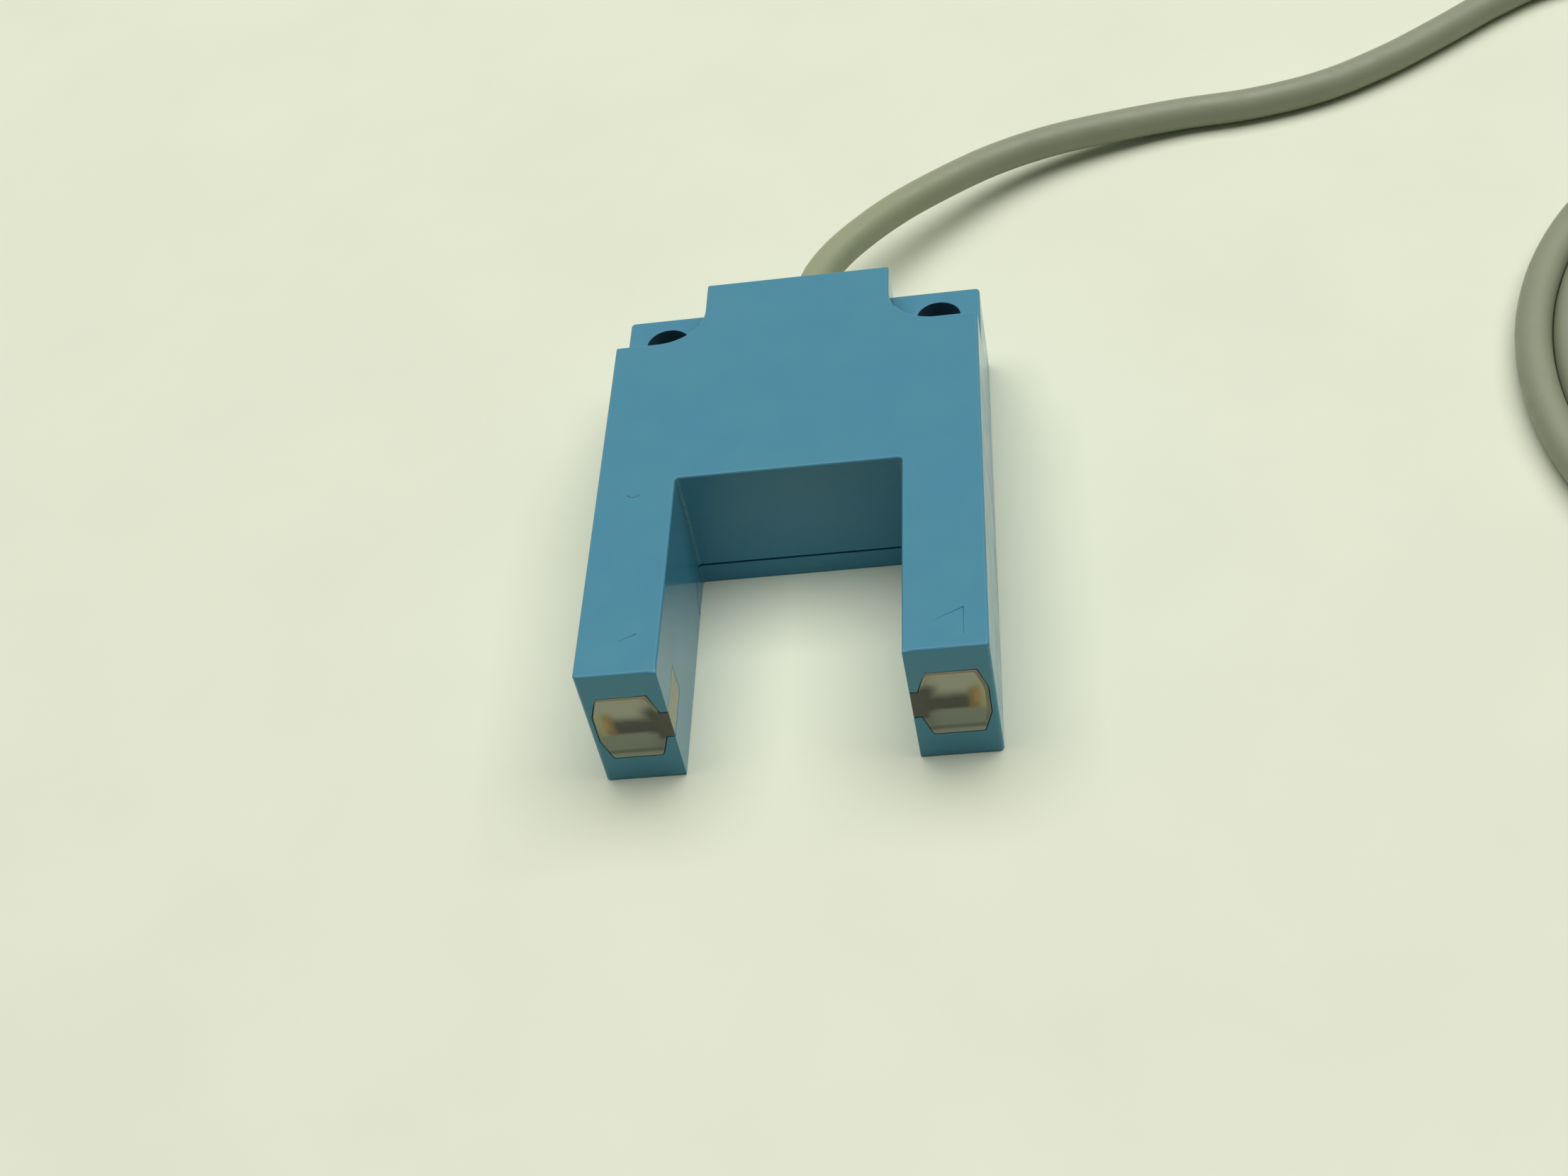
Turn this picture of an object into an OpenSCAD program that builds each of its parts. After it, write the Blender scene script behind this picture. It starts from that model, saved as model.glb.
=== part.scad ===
// Photoelectric vane sensor: a cast fork whose two legs face each other across a slot.
// One leg sends an infrared beam and the other receives it, and a vane in the slot breaks it.
// The part lies on its bottom cover. The origin is the bottom centre of the body,
// X runs across the slot, the legs point towards -Y and the cable leaves towards +Y.

/* [Body] */
// Width of each leg
leg_w = 10.5; // [9.5:0.5:12]
// Length of the body behind the slot
back_l = 40; // [36:1:46]
// Height of the body above the surface it lies on
body_h = 20; // [18:0.5:22]
// Length of the mounting ears behind the shoulders
ear_l = 12; // [11:0.5:13.5]
// Width of the neck that the cable leaves from
neck_w = 26.2; // [23.8:0.2:28.8]
// Height of the two mounting ears
ear_h = 14.4; // [12:0.2:16]
// Radius of the outer corners in plan
corner_r = 0.6; // [0.3:0.1:1]
// Thickness of the casting's side walls
wall = 1.6; // [1.3:0.1:1.8]
// Thickness of the casting's top wall
roof = 2.2; // [1.6:0.1:2.6]

/* [Vane slot] */
// Width of the slot that the vane passes through
slot_w = 30; // [27:0.5:36]
// Depth of the slot from the leg tips
slot_d = 34; // [28:1:40]
// Radius of the slot's inner corners
slot_r = 0.5; // [0.3:0.1:1]

/* [Mounting] */
// Diameter of the two mounting holes
hole_d = 6.2; // [5.2:0.1:6.6]
// Radius of the round seat around each mounting hole
seat_r = 6.5; // [5.8:0.1:7]

/* [Windows] */
// Height of each window over its slanted ends
window_h = 11.5; // [10:0.5:13]
// Height of the window's straight sides and of its opening into the slot
window_flat = 4.7; // [4.5:0.1:5.4]
// How far the window's corners slant inwards
window_slant = 1.1; // [0.7:0.1:1.5]
// Depth of the window's pocket from the leg tip
window_d = 7.7; // [7:0.1:9]
// Metal left outside the window
window_rim = 0.8; // [0.6:0.1:1]
// Metal left between the window and the slot
window_lip = 1; // [0.8:0.1:1.2]
// Width of the step that the window seats against
window_step = 0.8; // [0.5:0.1:1]
// Thickness of the window's front wall
window_front = 1.2; // [0.8:0.1:1.6]
// Thickness of the window's wall towards the slot
window_lens = 1.3; // [1:0.1:1.5]

/* [Optics] */
// Height of the emitter and of the receiver
diode_h = 4; // [3.4:0.1:4.1]
// Thickness of the emitter and of the receiver along the beam
diode_t = 2.6; // [2.2:0.1:3]
// Diameter of the small dome on the emitter and the receiver
dome_d = 2.2; // [1.6:0.1:2.4]
// Diameter of the wires that join them to the board
hookup_d = 0.8; // [0.6:0.1:0.9]

/* [Cover] */
// Thickness of the bottom cover
cover_t = 3.2; // [2.8:0.1:3.6]
// Thickness of the gasket under the casting
gasket_t = 0.3; // [0.2:0.1:0.5]
// How far the gasket lies inside the outer edge
gasket_inset = 0.6; // [0.4:0.1:0.9]
// How far the cover runs along the legs in front of the slot's end
cover_lap = 6.5; // [5.5:0.5:8]
// Height of the ribs that centre the cover in the casting
rib_h = 1.6; // [1:0.1:2.5]
// Diameter of the cover screws
screw_d = 2.5; // [2:0.1:2.6]
// Length of the cover screws
screw_l = 8; // [6:0.5:9]
// Diameter of the cover screws' countersunk heads
screw_head_d = 4.8; // [4.2:0.1:5]
// Distance of the two front cover screws from the middle
screw_x = 11; // [9:0.5:12]

/* [Circuit board] */
// Thickness of the circuit board
board_t = 1.2; // [0.8:0.1:1.6]
// Diameter of the posts that carry the board
post_d = 5; // [4.4:0.2:5.4]
// Diameter of the board screws
board_screw_d = 2; // [1.6:0.1:2.2]
// Diameter of the upright capacitor
can_d = 5; // [4:0.5:5]
// Height of the upright capacitor
can_h = 6.5; // [5:0.5:7]

/* [Cable] */
// Outer diameter of the cable
cable_d = 5; // [4.8:0.1:5]
// Diameter of the rubber bush in the neck
bush_d = 8; // [7.4:0.2:8.6]
// Diameter of the bush's inner flange
flange_d = 10.4; // [9.6:0.2:10.8]
// Length of the bush's boot behind the neck
boot_l = 4; // [3:0.5:4.5]
// Diameter of each conductor
core_d = 1.1; // [0.9:0.1:1.3]

/* [Hidden] */
$fn = 48;

// Clearance between a piece and its seat, and a small overrun for cuts
gap = 0.1;
over = 1;

// Body outline: the legs end at tip_y and the neck ends at back_y
body_w = slot_w + 2 * leg_w;
body_l = slot_d + back_l;
half_w = body_w / 2;
tip_y = -body_l / 2;
back_y = body_l / 2;
slot_x = slot_w / 2;
slot_y = tip_y + slot_d;
shoulder_y = back_y - ear_l;
hole_x = neck_w / 2 + seat_r;
hole_y = shoulder_y + seat_r;

// The beam's height and the planes of the cover, the gasket and the casting's underside
beam_z = body_h / 2;
under_z = cover_t + gasket_t;
cover_y = slot_y - cover_lap;
cover_flat_y = cover_y + cover_t;
ceiling_z = body_h - roof;

// Engraved beam marks on top of the legs
mark_w = 0.25;
mark_depth = 0.15;
mark_in = 3;
mark_back = 6.5;
mark_y = tip_y + mark_back;
RIGHT_MARK = [[-3.5, -1.8], [0, -4.3]];
LEFT_MARK = [[-2, -1]];

// Cavity in the casting
cavity_x = half_w - wall;
cavity_y0 = slot_y + wall;
cavity_y1 = shoulder_y - wall;
cavity_r = 1;
wing_x = slot_x + wall;
wing_gap = 0.5;
wing_y = cover_flat_y + wing_gap;

// Windows, with places measured from the slot's wall and from the leg tip
window_w = leg_w - window_lip - window_rim;
window_x = slot_x + window_lip + window_w / 2;
window_y1 = tip_y + window_d;
outer_wall = 0.6;
chamber_h = diode_h + 2 * gap;
chamber_x0 = slot_x + window_lens;
chamber_x1 = half_w - window_rim - gap - outer_wall;
chamber_y0 = tip_y + window_front;
diode_x1 = chamber_x1 - gap;
diode_x0 = diode_x1 - diode_t;
diode_y0 = chamber_y0 + gap;
diode_y1 = window_y1 - 2 * gap;
diode_x = (diode_x0 + diode_x1) / 2;
diode_y = (diode_y0 + diode_y1) / 2;
dome_l = 0.5;
hookup_x = hookup_d / 2 + gap;

// Cover screws: two behind the slot and two in the neck beside the cable
boss_r = screw_d / 2 + wall - gap;
boss_y = cavity_y0 + boss_r - gap;
bush_bore = bush_d + gap;
neck_screw_x = (bush_bore / 2 + neck_w / 2) / 2;
COVER_SCREWS = [[-screw_x, boss_y], [screw_x, boss_y],
    [-neck_screw_x, hole_y], [neck_screw_x, hole_y]];
head_t = (screw_head_d - screw_d) / 2;
drill_room = 0.6;
drill_l = screw_l - under_z + drill_room;
recess_w = 0.6;
recess_t = 0.8;

// Circuit board, which hangs from four posts with its top face up
board_gap = 0.3;
board_top = beam_z - hookup_d / 2;
board_z = board_top - board_t;
board_x = cavity_x - board_gap;
board_y0 = boss_y + boss_r + board_gap;
board_back = 2.4;
board_y1 = cavity_y1 - board_back;
board_y = (board_y0 + board_y1) / 2;
post_gap = 0.9;
post_x = board_x - hookup_d * 2 - 2 * gap - post_d / 2 - post_gap;
post_in = post_d / 2 + board_gap;
POSTS = [for (x = [-post_x, post_x], y = [board_y0 + post_in, board_y1 - post_in]) [x, y]];
post_drill = 5;
board_drill_room = 1;
board_head_d = 3.6;
board_head_t = 1.3;
pad_l = 2.2;

// Sizes of the board's parts, each as length, width and height
CHIP = [8.6, 3.9, 1.5];
chip_legs = 7;
chip_pitch = 1.27;
leg_size = [0.4, 0.9, 0.6];
leg_in = 0.1;
chip_rise = 0.2;
PACKAGE = [4.5, 2.5, 1.5];
TAB = [1.7, 1.1, 0.4];
PIN = [0.4, 1, 0.4];
pin_pitch = 1.5;
pin_in = 0.25;
RESISTOR = [1.6, 0.8, 0.5];
CERAMIC = [2, 1.25, 0.9];
cap_l = 0.4;
cap_t = 0.03;
DIODE = [4.6, 3.6, 2.2];
DIODE_LEG = [0.7, 2, 1.2];
diode_rise = 0.1;
can_edge = 0.3;

// Places of the board's parts, from the board's middle
chip_at = [0, -1.2];
transistor_at = [10.8, 3.7];
regulator_at = [-5, 3.9];
can_at = [-12.2, -2];
diode_at = [-11, 3.7];
RESISTORS_AT = [[5.2, -4.7], [7.7, -4.7], [10.2, -4.7], [12.7, -4.7], [8, 0.4], [11, 0.4],
    [-7.3, -4.7], [4.5, 2.6]];
CERAMICS_AT = [[7.5, -2.1], [11, -2.1], [-7.3, -2.7], [-7.3, 0], [4.5, 4.4]];

// Cable entry: pocket in the neck, bush, collar and the jacket's inner end
cable_r = cable_d / 2;
cable_z = 10;
cable_bore = cable_d + gap;
pocket_gap = 0.4;
pocket_x = flange_d / 2 + pocket_gap;
pocket_l = 4;
pocket_y = shoulder_y + pocket_l;
flange_t = 2;
collar_t = 2.4;
collar_wall = 1.1;
collar_d = cable_d + 2 * collar_wall;
collar_y = pocket_y - flange_t - gap - collar_t;
jacket_in = 1;
jacket_y = collar_y - jacket_in;
core_gap = 0.2;
core_pitch = core_d + core_gap;
boot_wall = 0.7;
boot_tip_d = cable_d + 2 * boot_wall;

// Route of the cable from the neck to the coil, and from the coil to its stripped end.
// The cord's points are measured from the middle of the neck's back edge on the surface.
ROUTE = [[0, 5, 10], [1, 11.5, 9.8], [3.5, 17, 9.5], [7.5, 23, 8.9], [13, 29.5, 8.1],
    [20, 36, 7.1], [28, 42.5, 5.8], [37, 47.5, 4.6], [47, 51, 3.5], [58, 53.5, 2.7],
    [70, 54.5, 2.5], [81, 57, 2.5], [91.5, 62, 2.5], [101.5, 68.5, 2.5], [111.5, 75.5, 2.5],
    [120, 80, 2.5], [129, 81.5, 2.5], [138, 79.5, 2.5], [147, 74.5, 2.5],
    [157, 67.5, 2.5], [168, 59.5, 2.5], [180, 50.5, 2.5], [193, 40.5, 2.5],
    [204.8, 31, 2.5]];
TAIL = [[200.6, -6, 2.5], [202, -20, 2.5], [197.2, -32.8, 2.5], [187, -42.4, 2.5],
    [174, -47, 2.5], [161, -46.5, 2.5]];
LEADS = [[[160.6, -46.5, 3.6], [152, -45, 1.4], [142, -46, 0.6], [132, -49.5, 0.6]],
    [[160.6, -45.5, 1.9], [152, -42, 0.6], [142, -39, 0.6], [131, -38, 0.6]],
    [[160.6, -47.5, 1.9], [153, -49.5, 0.6], [147, -52, 0.6], [142, -55, 0.6]]];
lead_d = 1.2;
tip_d = 0.7;

// Coil: flat turns side by side, and one turn in the groove on top of the two inner ones.
// A tie holds them together and passes under them.
coil_x = 162;
coil_y = -20;
coil_r = 64;
turn_pitch = 5.1;
flat_turns = 4;
tie_t = 0.5;
tie_w = 4;
tie_angle = -30;
turn_out = coil_r - cable_r;
turn_in = turn_out - turn_pitch * (flat_turns - 1);
turn_z = tie_t + gap + cable_r;
BUNDLE = [[turn_in, turn_z], [turn_out, turn_z],
    [turn_in + turn_pitch / 2, turn_z + turn_pitch * sin(60)]];
arc_steps = 5;

// One side or both sides of the body
module both_sides() {
    for (s = [-1, 1]) scale_x(s) children();
}

module scale_x(s) {
    if (s < 0) mirror([1, 0, 0]) children();
    else children();
}

// Rectangle from a low corner to a high corner, with round corners
module round_rect(x0, y0, x1, y1, r) {
    translate([x0 + r, y0]) square([x1 - x0 - 2 * r, y1 - y0]);
    translate([x0, y0 + r]) square([x1 - x0, y1 - y0 - 2 * r]);
    for (x = [x0 + r, x1 - r], y = [y0 + r, y1 - r]) translate([x, y]) circle(r);
}

// The body seen from above: fork, shoulders with the ears, and neck
module plan(inset = 0) {
    difference() {
        round_rect(-half_w + inset, tip_y + inset, half_w - inset, back_y - inset, corner_r);
        round_rect(-slot_x - inset, tip_y - 2 * slot_r - over, slot_x + inset, slot_y + inset, slot_r);
    }
}

// The corner beside the neck that is cut down to the ear, round about the mounting hole
module ear_corner() {
    translate([hole_x, hole_y]) circle(seat_r);
    translate([hole_x - seat_r, hole_y]) square([half_w, back_y]);
    translate([hole_x, hole_y - seat_r]) square([half_w, back_y]);
}

// Side view of the bottom cover, whose front end is a quarter round
module cover_profile(r, below) {
    intersection() {
        translate([cover_flat_y, 0]) circle(r);
        translate([cover_flat_y - r, 0]) square([r, r]);
    }
    translate([cover_flat_y, 0]) square([body_l, r]);
    if (below > 0) translate([cover_flat_y - r, -below]) square([body_l + r, below]);
}

module cover_space(r, below) {
    rotate([90, 0, 90])
        linear_extrude(body_w + 2 * over, center = true) cover_profile(r, below);
}

// Outline of a window, smaller by g all round: an octagon with slanted ends
function window_outline(g) =
    let (x = window_w / 2, z = window_h / 2, f = window_flat / 2,
        rise = z - f, l = norm([rise, window_slant]), nx = rise / l, nz = window_slant / l,
        d = nx * (x - window_slant) + nz * z - g,
        cx = (d - nz * (z - g)) / nx, cz = (d - nx * (x - g)) / nz)
    [[cx, z - g], [x - g, cz], [x - g, -cz], [cx, g - z],
        [-cx, g - z], [g - x, -cz], [g - x, cz], [-cx, z - g]];

// A shape in the X and Z directions, carried from y0 to y1
module along_y(y0, y1) {
    translate([0, y1, 0]) rotate([90, 0, 0]) linear_extrude(y1 - y0) children();
}

module box(x0, y0, z0, x1, y1, z1) {
    translate([x0, y0, z0]) cube([x1 - x0, y1 - y0, z1 - z0]);
}

module window_shape(y0, y1, g) {
    translate([window_x, 0, beam_z]) along_y(y0, y1) polygon(window_outline(g));
}

// The window's arm that comes through the leg's wall into the slot
module window_arm(x0, y0, y1, g) {
    box(x0, y0, beam_z - window_flat / 2 + g, window_x, y1, beam_z + window_flat / 2 - g);
}

module cavity_plan() {
    round_rect(-cavity_x, cavity_y0, cavity_x, cavity_y1, cavity_r);
    both_sides() translate([wing_x, wing_y]) square([cavity_x - wing_x, cavity_y0 - wing_y + cavity_r]);
}

// Engraved strokes that start from one corner
module mark(corner, strokes) {
    for (d = strokes)
        translate([corner[0], corner[1], body_h - mark_depth])
            rotate([0, 0, atan2(d[1], d[0])])
                translate([-mark_w / 2, -mark_w / 2, 0]) cube([norm(d) + mark_w, mark_w, over]);
}

module housing() {
    color([0.33, 0.56, 0.66]) {
        difference() {
            linear_extrude(body_h) plan();
            cover_space(under_z, over);
            both_sides() {
                translate([0, 0, ear_h]) linear_extrude(body_h) ear_corner();
                translate([hole_x, hole_y, 0]) cylinder(h = body_h, d = hole_d);
                window_shape(tip_y - over, window_y1, 0);
                window_arm(slot_x - over, tip_y - over, window_y1, 0);
                window_shape(window_y1 - over, cavity_y0 + over, window_step);
            }
            difference() {
                linear_extrude(ceiling_z) cavity_plan();
                both_sides() {
                    translate([screw_x, boss_y, 0]) cylinder(h = body_h, r = boss_r);
                    box(screw_x - boss_r, cavity_y0 - over, 0, screw_x + boss_r, boss_y, body_h);
                }
                for (p = POSTS) translate([p[0], p[1], board_top]) cylinder(h = body_h, d = post_d);
            }
            box(-pocket_x, cavity_y1 - over, 0, pocket_x, pocket_y, cable_z + pocket_x);
            translate([0, back_y + over, cable_z]) rotate([90, 0, 0])
                cylinder(h = back_y - pocket_y + 2 * over, d = bush_bore);
            for (p = COVER_SCREWS) translate([p[0], p[1], 0])
                cylinder(h = under_z + drill_l, d = screw_d + gap);
            for (p = POSTS) translate([p[0], p[1], board_z])
                cylinder(h = board_t + post_drill, d = board_screw_d + gap);
            mark([half_w - mark_in, mark_y], RIGHT_MARK);
            mark([-slot_x - mark_in, mark_y], LEFT_MARK);
        }
    }
}

module bottom_cover() {
    color([0.31, 0.53, 0.63]) {
        difference() {
            intersection() {
                linear_extrude(cover_t) plan();
                cover_space(cover_t, 0);
            }
            both_sides() translate([hole_x, hole_y, -over]) cylinder(h = body_h, d = hole_d);
            for (p = COVER_SCREWS) translate([p[0], p[1], 0]) {
                translate([0, 0, -over]) cylinder(h = body_h, d = screw_d + 2 * gap);
                cylinder(h = head_t + gap, d1 = screw_head_d + 2 * gap, d2 = screw_d);
            }
        }
        both_sides() box(cavity_x - board_gap - wall, board_y0 + cavity_r, cover_t - gap,
            cavity_x - board_gap, board_y1 - cavity_r, cover_t + rib_h);
    }
}

module cover_gasket() {
    color([0.12, 0.12, 0.12])
        translate([0, 0, cover_t])
            linear_extrude(gasket_t)
                difference() {
                    intersection() {
                        plan(gasket_inset);
                        translate([-body_w, cover_flat_y]) square([2 * body_w, body_l]);
                    }
                    difference() {
                        cavity_plan();
                        both_sides() {
                            translate([screw_x, boss_y]) circle(boss_r);
                            translate([screw_x - boss_r, cavity_y0 - over])
                                square([2 * boss_r, boss_y - cavity_y0 + over]);
                        }
                    }
                    translate([-pocket_x, cavity_y1 - over])
                        square([2 * pocket_x, pocket_y - cavity_y1 + over]);
                    both_sides() translate([hole_x, hole_y]) circle(hole_d / 2 + gap);
                    for (p = COVER_SCREWS) translate(p) circle(screw_d / 2 + 2 * gap);
                }
}

// A screw that points up from a countersunk or a flat head, with a cross recess
module screw(head_d, head_h, neck_d, d, l) {
    difference() {
        union() {
            cylinder(h = head_h, d1 = head_d, d2 = neck_d);
            cylinder(h = l, d = d);
        }
        for (a = [0, 90]) rotate([0, 0, a])
            cube([head_d * recess_w, recess_w, 2 * recess_t], center = true);
    }
}

module cover_screws() {
    color([0.62, 0.63, 0.65])
        for (p = COVER_SCREWS) translate([p[0], p[1], gap])
            screw(screw_head_d, head_t, screw_d, screw_d, screw_l - gap);
}

// A window is a hollow moulding, open at the back, with an arm that faces the slot
module window_piece() {
    difference() {
        union() {
            window_shape(tip_y, window_y1 - gap, gap);
            window_arm(slot_x, tip_y, window_y1 - gap, gap);
        }
        box(chamber_x0, chamber_y0, beam_z - chamber_h / 2,
            chamber_x1, window_y1 + over, beam_z + chamber_h / 2);
    }
}

module emitter_window() {
    color([0.55, 0.55, 0.47]) scale_x(-1) window_piece();
}

module receiver_window() {
    color([0.55, 0.55, 0.47]) window_piece();
}

// The black block between the diode and the slot, with the beam's bore through it
module shroud_piece() {
    difference() {
        box(chamber_x0 + gap, diode_y0, beam_z - diode_h / 2,
            diode_x0 - gap, diode_y1, beam_z + diode_h / 2);
        translate([chamber_x0 - over, diode_y, beam_z]) rotate([0, 90, 0])
            cylinder(h = leg_w + over, d = dome_d + 2 * gap);
    }
}

module emitter_shroud() {
    color([0.1, 0.1, 0.1]) scale_x(-1) shroud_piece();
}

module receiver_shroud() {
    color([0.1, 0.1, 0.1]) shroud_piece();
}

module diode_piece() {
    box(diode_x0, diode_y0, beam_z - diode_h / 2, diode_x1, diode_y1, beam_z + diode_h / 2);
    translate([diode_x0 - dome_l, diode_y, beam_z]) {
        rotate([0, 90, 0]) cylinder(h = dome_l + gap, d = dome_d);
        sphere(d = dome_d);
    }
}

module emitter_diode() {
    color([0.85, 0.5, 0.15]) scale_x(-1) diode_piece();
}

module receiver_diode() {
    color([0.75, 0.45, 0.15]) diode_piece();
}

// Two wires run through the leg from the diode to the board's top face
module hookup_wires() {
    for (s = [-1, 1]) translate([diode_x + s * hookup_x, board_y0 + pad_l, beam_z])
        rotate([90, 0, 0]) cylinder(h = board_y0 + pad_l - diode_y1, d = hookup_d);
}

module emitter_wires() {
    color([0.75, 0.1, 0.1]) scale_x(-1) hookup_wires();
}

module receiver_wires() {
    color([0.15, 0.15, 0.6]) hookup_wires();
}

module circuit_board() {
    color([0.1, 0.4, 0.2])
        translate([0, 0, board_z])
            linear_extrude(board_t)
                difference() {
                    round_rect(-board_x, board_y0, board_x, board_y1, cavity_r);
                    for (p = POSTS) translate(p) circle(board_screw_d / 2 + 2 * gap);
                }
}

module board_screws() {
    color([0.7, 0.7, 0.72])
        for (p = POSTS) translate([p[0], p[1], board_z - board_head_t])
            screw(board_head_d, board_head_t, board_head_d, board_screw_d,
                board_head_t + board_t + post_drill - board_drill_room);
}

module on_board(place, z = 0) {
    translate([place[0], board_y + place[1], board_top + z]) children();
}

// A block that stands on its bottom's middle, with its front face at y when that is given
module block(size, x, y, z) {
    translate([x - size[0] / 2, y, z]) cube(size);
}

// A chip with gull-wing legs along both long sides
module amplifier_chip() {
    color([0.08, 0.08, 0.08]) on_board(chip_at) {
        block(CHIP, 0, -CHIP[1] / 2, chip_rise);
        for (i = [0 : chip_legs - 1]) translate([(i - (chip_legs - 1) / 2) * chip_pitch, 0, 0]) {
            block(leg_size, 0, CHIP[1] / 2 - leg_in, 0);
            block(leg_size, 0, -CHIP[1] / 2 + leg_in - leg_size[1], 0);
        }
    }
}

// A power package lying flat, with its tab behind and three pins in front
module tab_package() {
    block(PACKAGE, 0, -PACKAGE[1] / 2, 0);
    block(TAB, 0, PACKAGE[1] / 2 - pin_in, 0);
    for (i = [-1, 0, 1]) block(PIN, i * pin_pitch, -PACKAGE[1] / 2 + pin_in - PIN[1], 0);
}

module output_transistor() {
    color([0.1, 0.1, 0.1]) on_board(transistor_at) tab_package();
}

module voltage_regulator() {
    color([0.12, 0.12, 0.12]) on_board(regulator_at) tab_package();
}

module filter_capacitor() {
    color([0.15, 0.2, 0.45]) on_board(can_at)
        rotate_extrude()
            polygon([[0, 0], [can_d / 2, 0], [can_d / 2, can_h - can_edge],
                [can_d / 2 - can_edge, can_h], [0, can_h]]);
}

// Small parts with a body between two end caps
module end_capped(places, size) {
    for (p = places) on_board(p) {
        block(size, 0, -size[1] / 2, 0);
        for (s = [-1, 1])
            block([cap_l, size[1] + 2 * cap_t, size[2] + cap_t], s * (size[0] - cap_l) / 2 + s * cap_t,
                -size[1] / 2 - cap_t, 0);
    }
}

module chip_resistors() {
    color([0.1, 0.1, 0.12]) end_capped(RESISTORS_AT, RESISTOR);
}

module chip_capacitors() {
    color([0.6, 0.5, 0.35]) end_capped(CERAMICS_AT, CERAMIC);
}

module protection_diode() {
    color([0.1, 0.1, 0.1]) on_board(diode_at) {
        block(DIODE, 0, -DIODE[1] / 2, diode_rise);
        for (s = [-1, 1]) block(DIODE_LEG, s * DIODE[0] / 2, -DIODE_LEG[1] / 2, 0);
    }
}

// Three conductors from the jacket's end to the board's top face
module board_cores() {
    color([0.35, 0.2, 0.1])
        for (i = [-1, 0, 1]) translate([i * core_pitch, jacket_y, board_top + core_d / 2])
            rotate([90, 0, 0]) cylinder(h = jacket_y - board_y1 + pad_l, d = core_d);
}

module cable_bush() {
    color([0.16, 0.16, 0.16])
        translate([0, pocket_y - flange_t, cable_z]) rotate([-90, 0, 0])
            rotate_extrude()
                polygon([[cable_bore / 2, 0], [flange_d / 2, 0], [flange_d / 2, flange_t],
                    [bush_d / 2, flange_t], [bush_d / 2, back_y - pocket_y + flange_t],
                    [boot_tip_d / 2, back_y - pocket_y + flange_t + boot_l],
                    [cable_bore / 2, back_y - pocket_y + flange_t + boot_l]]);
}

module cable_collar() {
    color([0.7, 0.6, 0.35])
        translate([0, collar_y, cable_z]) rotate([-90, 0, 0])
            difference() {
                cylinder(h = collar_t, d = collar_d);
                translate([0, 0, -over]) cylinder(h = collar_t + 2 * over, d = cable_bore);
            }
}

// A tube of n sides along a path: one ring across the path at each of its points
function heading(path, i) =
    let (a = path[max(i - 1, 0)], b = path[min(i + 1, len(path) - 1)]) (b - a) / norm(b - a);
function ring(p, t, r, n) =
    let (side = [t[1], -t[0], 0] / norm([t[0], t[1]]), up = cross(side, t))
    [for (k = [0 : n - 1]) p + r * (cos((k + 0.5) * 360 / n) * side + sin((k + 0.5) * 360 / n) * up)];

module tube(path, radii, n) {
    m = len(path);
    points = [for (i = [0 : m - 1]) each ring(path[i], heading(path, i), radii[i], n)];
    walls = [for (i = [0 : m - 2], k = [0 : n - 1])
        [i * n + k, i * n + (k + 1) % n, (i + 1) * n + (k + 1) % n, (i + 1) * n + k]];
    ends = [[for (k = [n - 1 : -1 : 0]) k], [for (k = [0 : n - 1]) (m - 1) * n + k]];
    polyhedron(points, concat(walls, ends), convexity = 10);
}

module behind_neck() {
    translate([0, back_y, 0]) children();
}

module plain_tube(path, d, n) {
    tube(path, [for (p = path) d / 2], n);
}

module cable() {
    inner = [for (y = [jacket_y, pocket_y]) [0, y - back_y, cable_z]];
    color([0.53, 0.54, 0.49]) behind_neck() plain_tube(concat(inner, ROUTE), cable_d, 12);
}

// Outline at the distance r around a convex figure whose corners run anticlockwise
function around(corners, r) =
    let (n = len(corners))
    [for (i = [0 : n - 1])
        let (p = corners[i], before = p - corners[(i + n - 1) % n], after = corners[(i + 1) % n] - p,
            start = atan2(before[1], before[0]) - 90,
            turn = (atan2(after[1], after[0]) - 90 - start + 720) % 360)
        for (k = [0 : arc_steps])
            p + r * [cos(start + turn * k / arc_steps), sin(start + turn * k / arc_steps)]];

module cable_coil() {
    color([0.53, 0.54, 0.49])
        behind_neck() translate([coil_x, coil_y, 0])
            rotate_extrude($fn = 96) polygon(around(BUNDLE, cable_r));
}

module cable_tail() {
    color([0.53, 0.54, 0.49]) behind_neck() plain_tube(TAIL, cable_d, 12);
}

module cable_leads() {
    for (i = [0 : 2]) color([[0.35, 0.2, 0.1], [0.15, 0.3, 0.7], [0.08, 0.08, 0.08]][i]) {
        path = LEADS[i];
        bare = path[3] - path[2];
        strip = path[2] + bare / 2;
        behind_neck() {
            plain_tube([path[0], path[1], path[2]], lead_d, 8);
            tube([path[2], strip, strip + bare / 100, path[3]],
                [lead_d / 2, lead_d / 2, tip_d / 2, tip_d / 2], 8);
        }
    }
}

module coil_tie() {
    color([0.1, 0.1, 0.1])
        behind_neck() translate([coil_x, coil_y, 0]) rotate([0, 0, tie_angle])
            along_y(-tie_w / 2, tie_w / 2)
            difference() {
                polygon(around(BUNDLE, cable_r + gap + tie_t));
                polygon(around(BUNDLE, cable_r + gap));
            }
}

housing();
bottom_cover();
cover_gasket();
cover_screws();
emitter_window();
receiver_window();
emitter_shroud();
receiver_shroud();
emitter_diode();
receiver_diode();
emitter_wires();
receiver_wires();
circuit_board();
board_screws();
amplifier_chip();
output_transistor();
voltage_regulator();
filter_capacitor();
chip_resistors();
chip_capacitors();
protection_diode();
board_cores();
cable_bush();
cable_collar();
cable();
cable_coil();
cable_tail();
cable_leads();
coil_tie();
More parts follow.
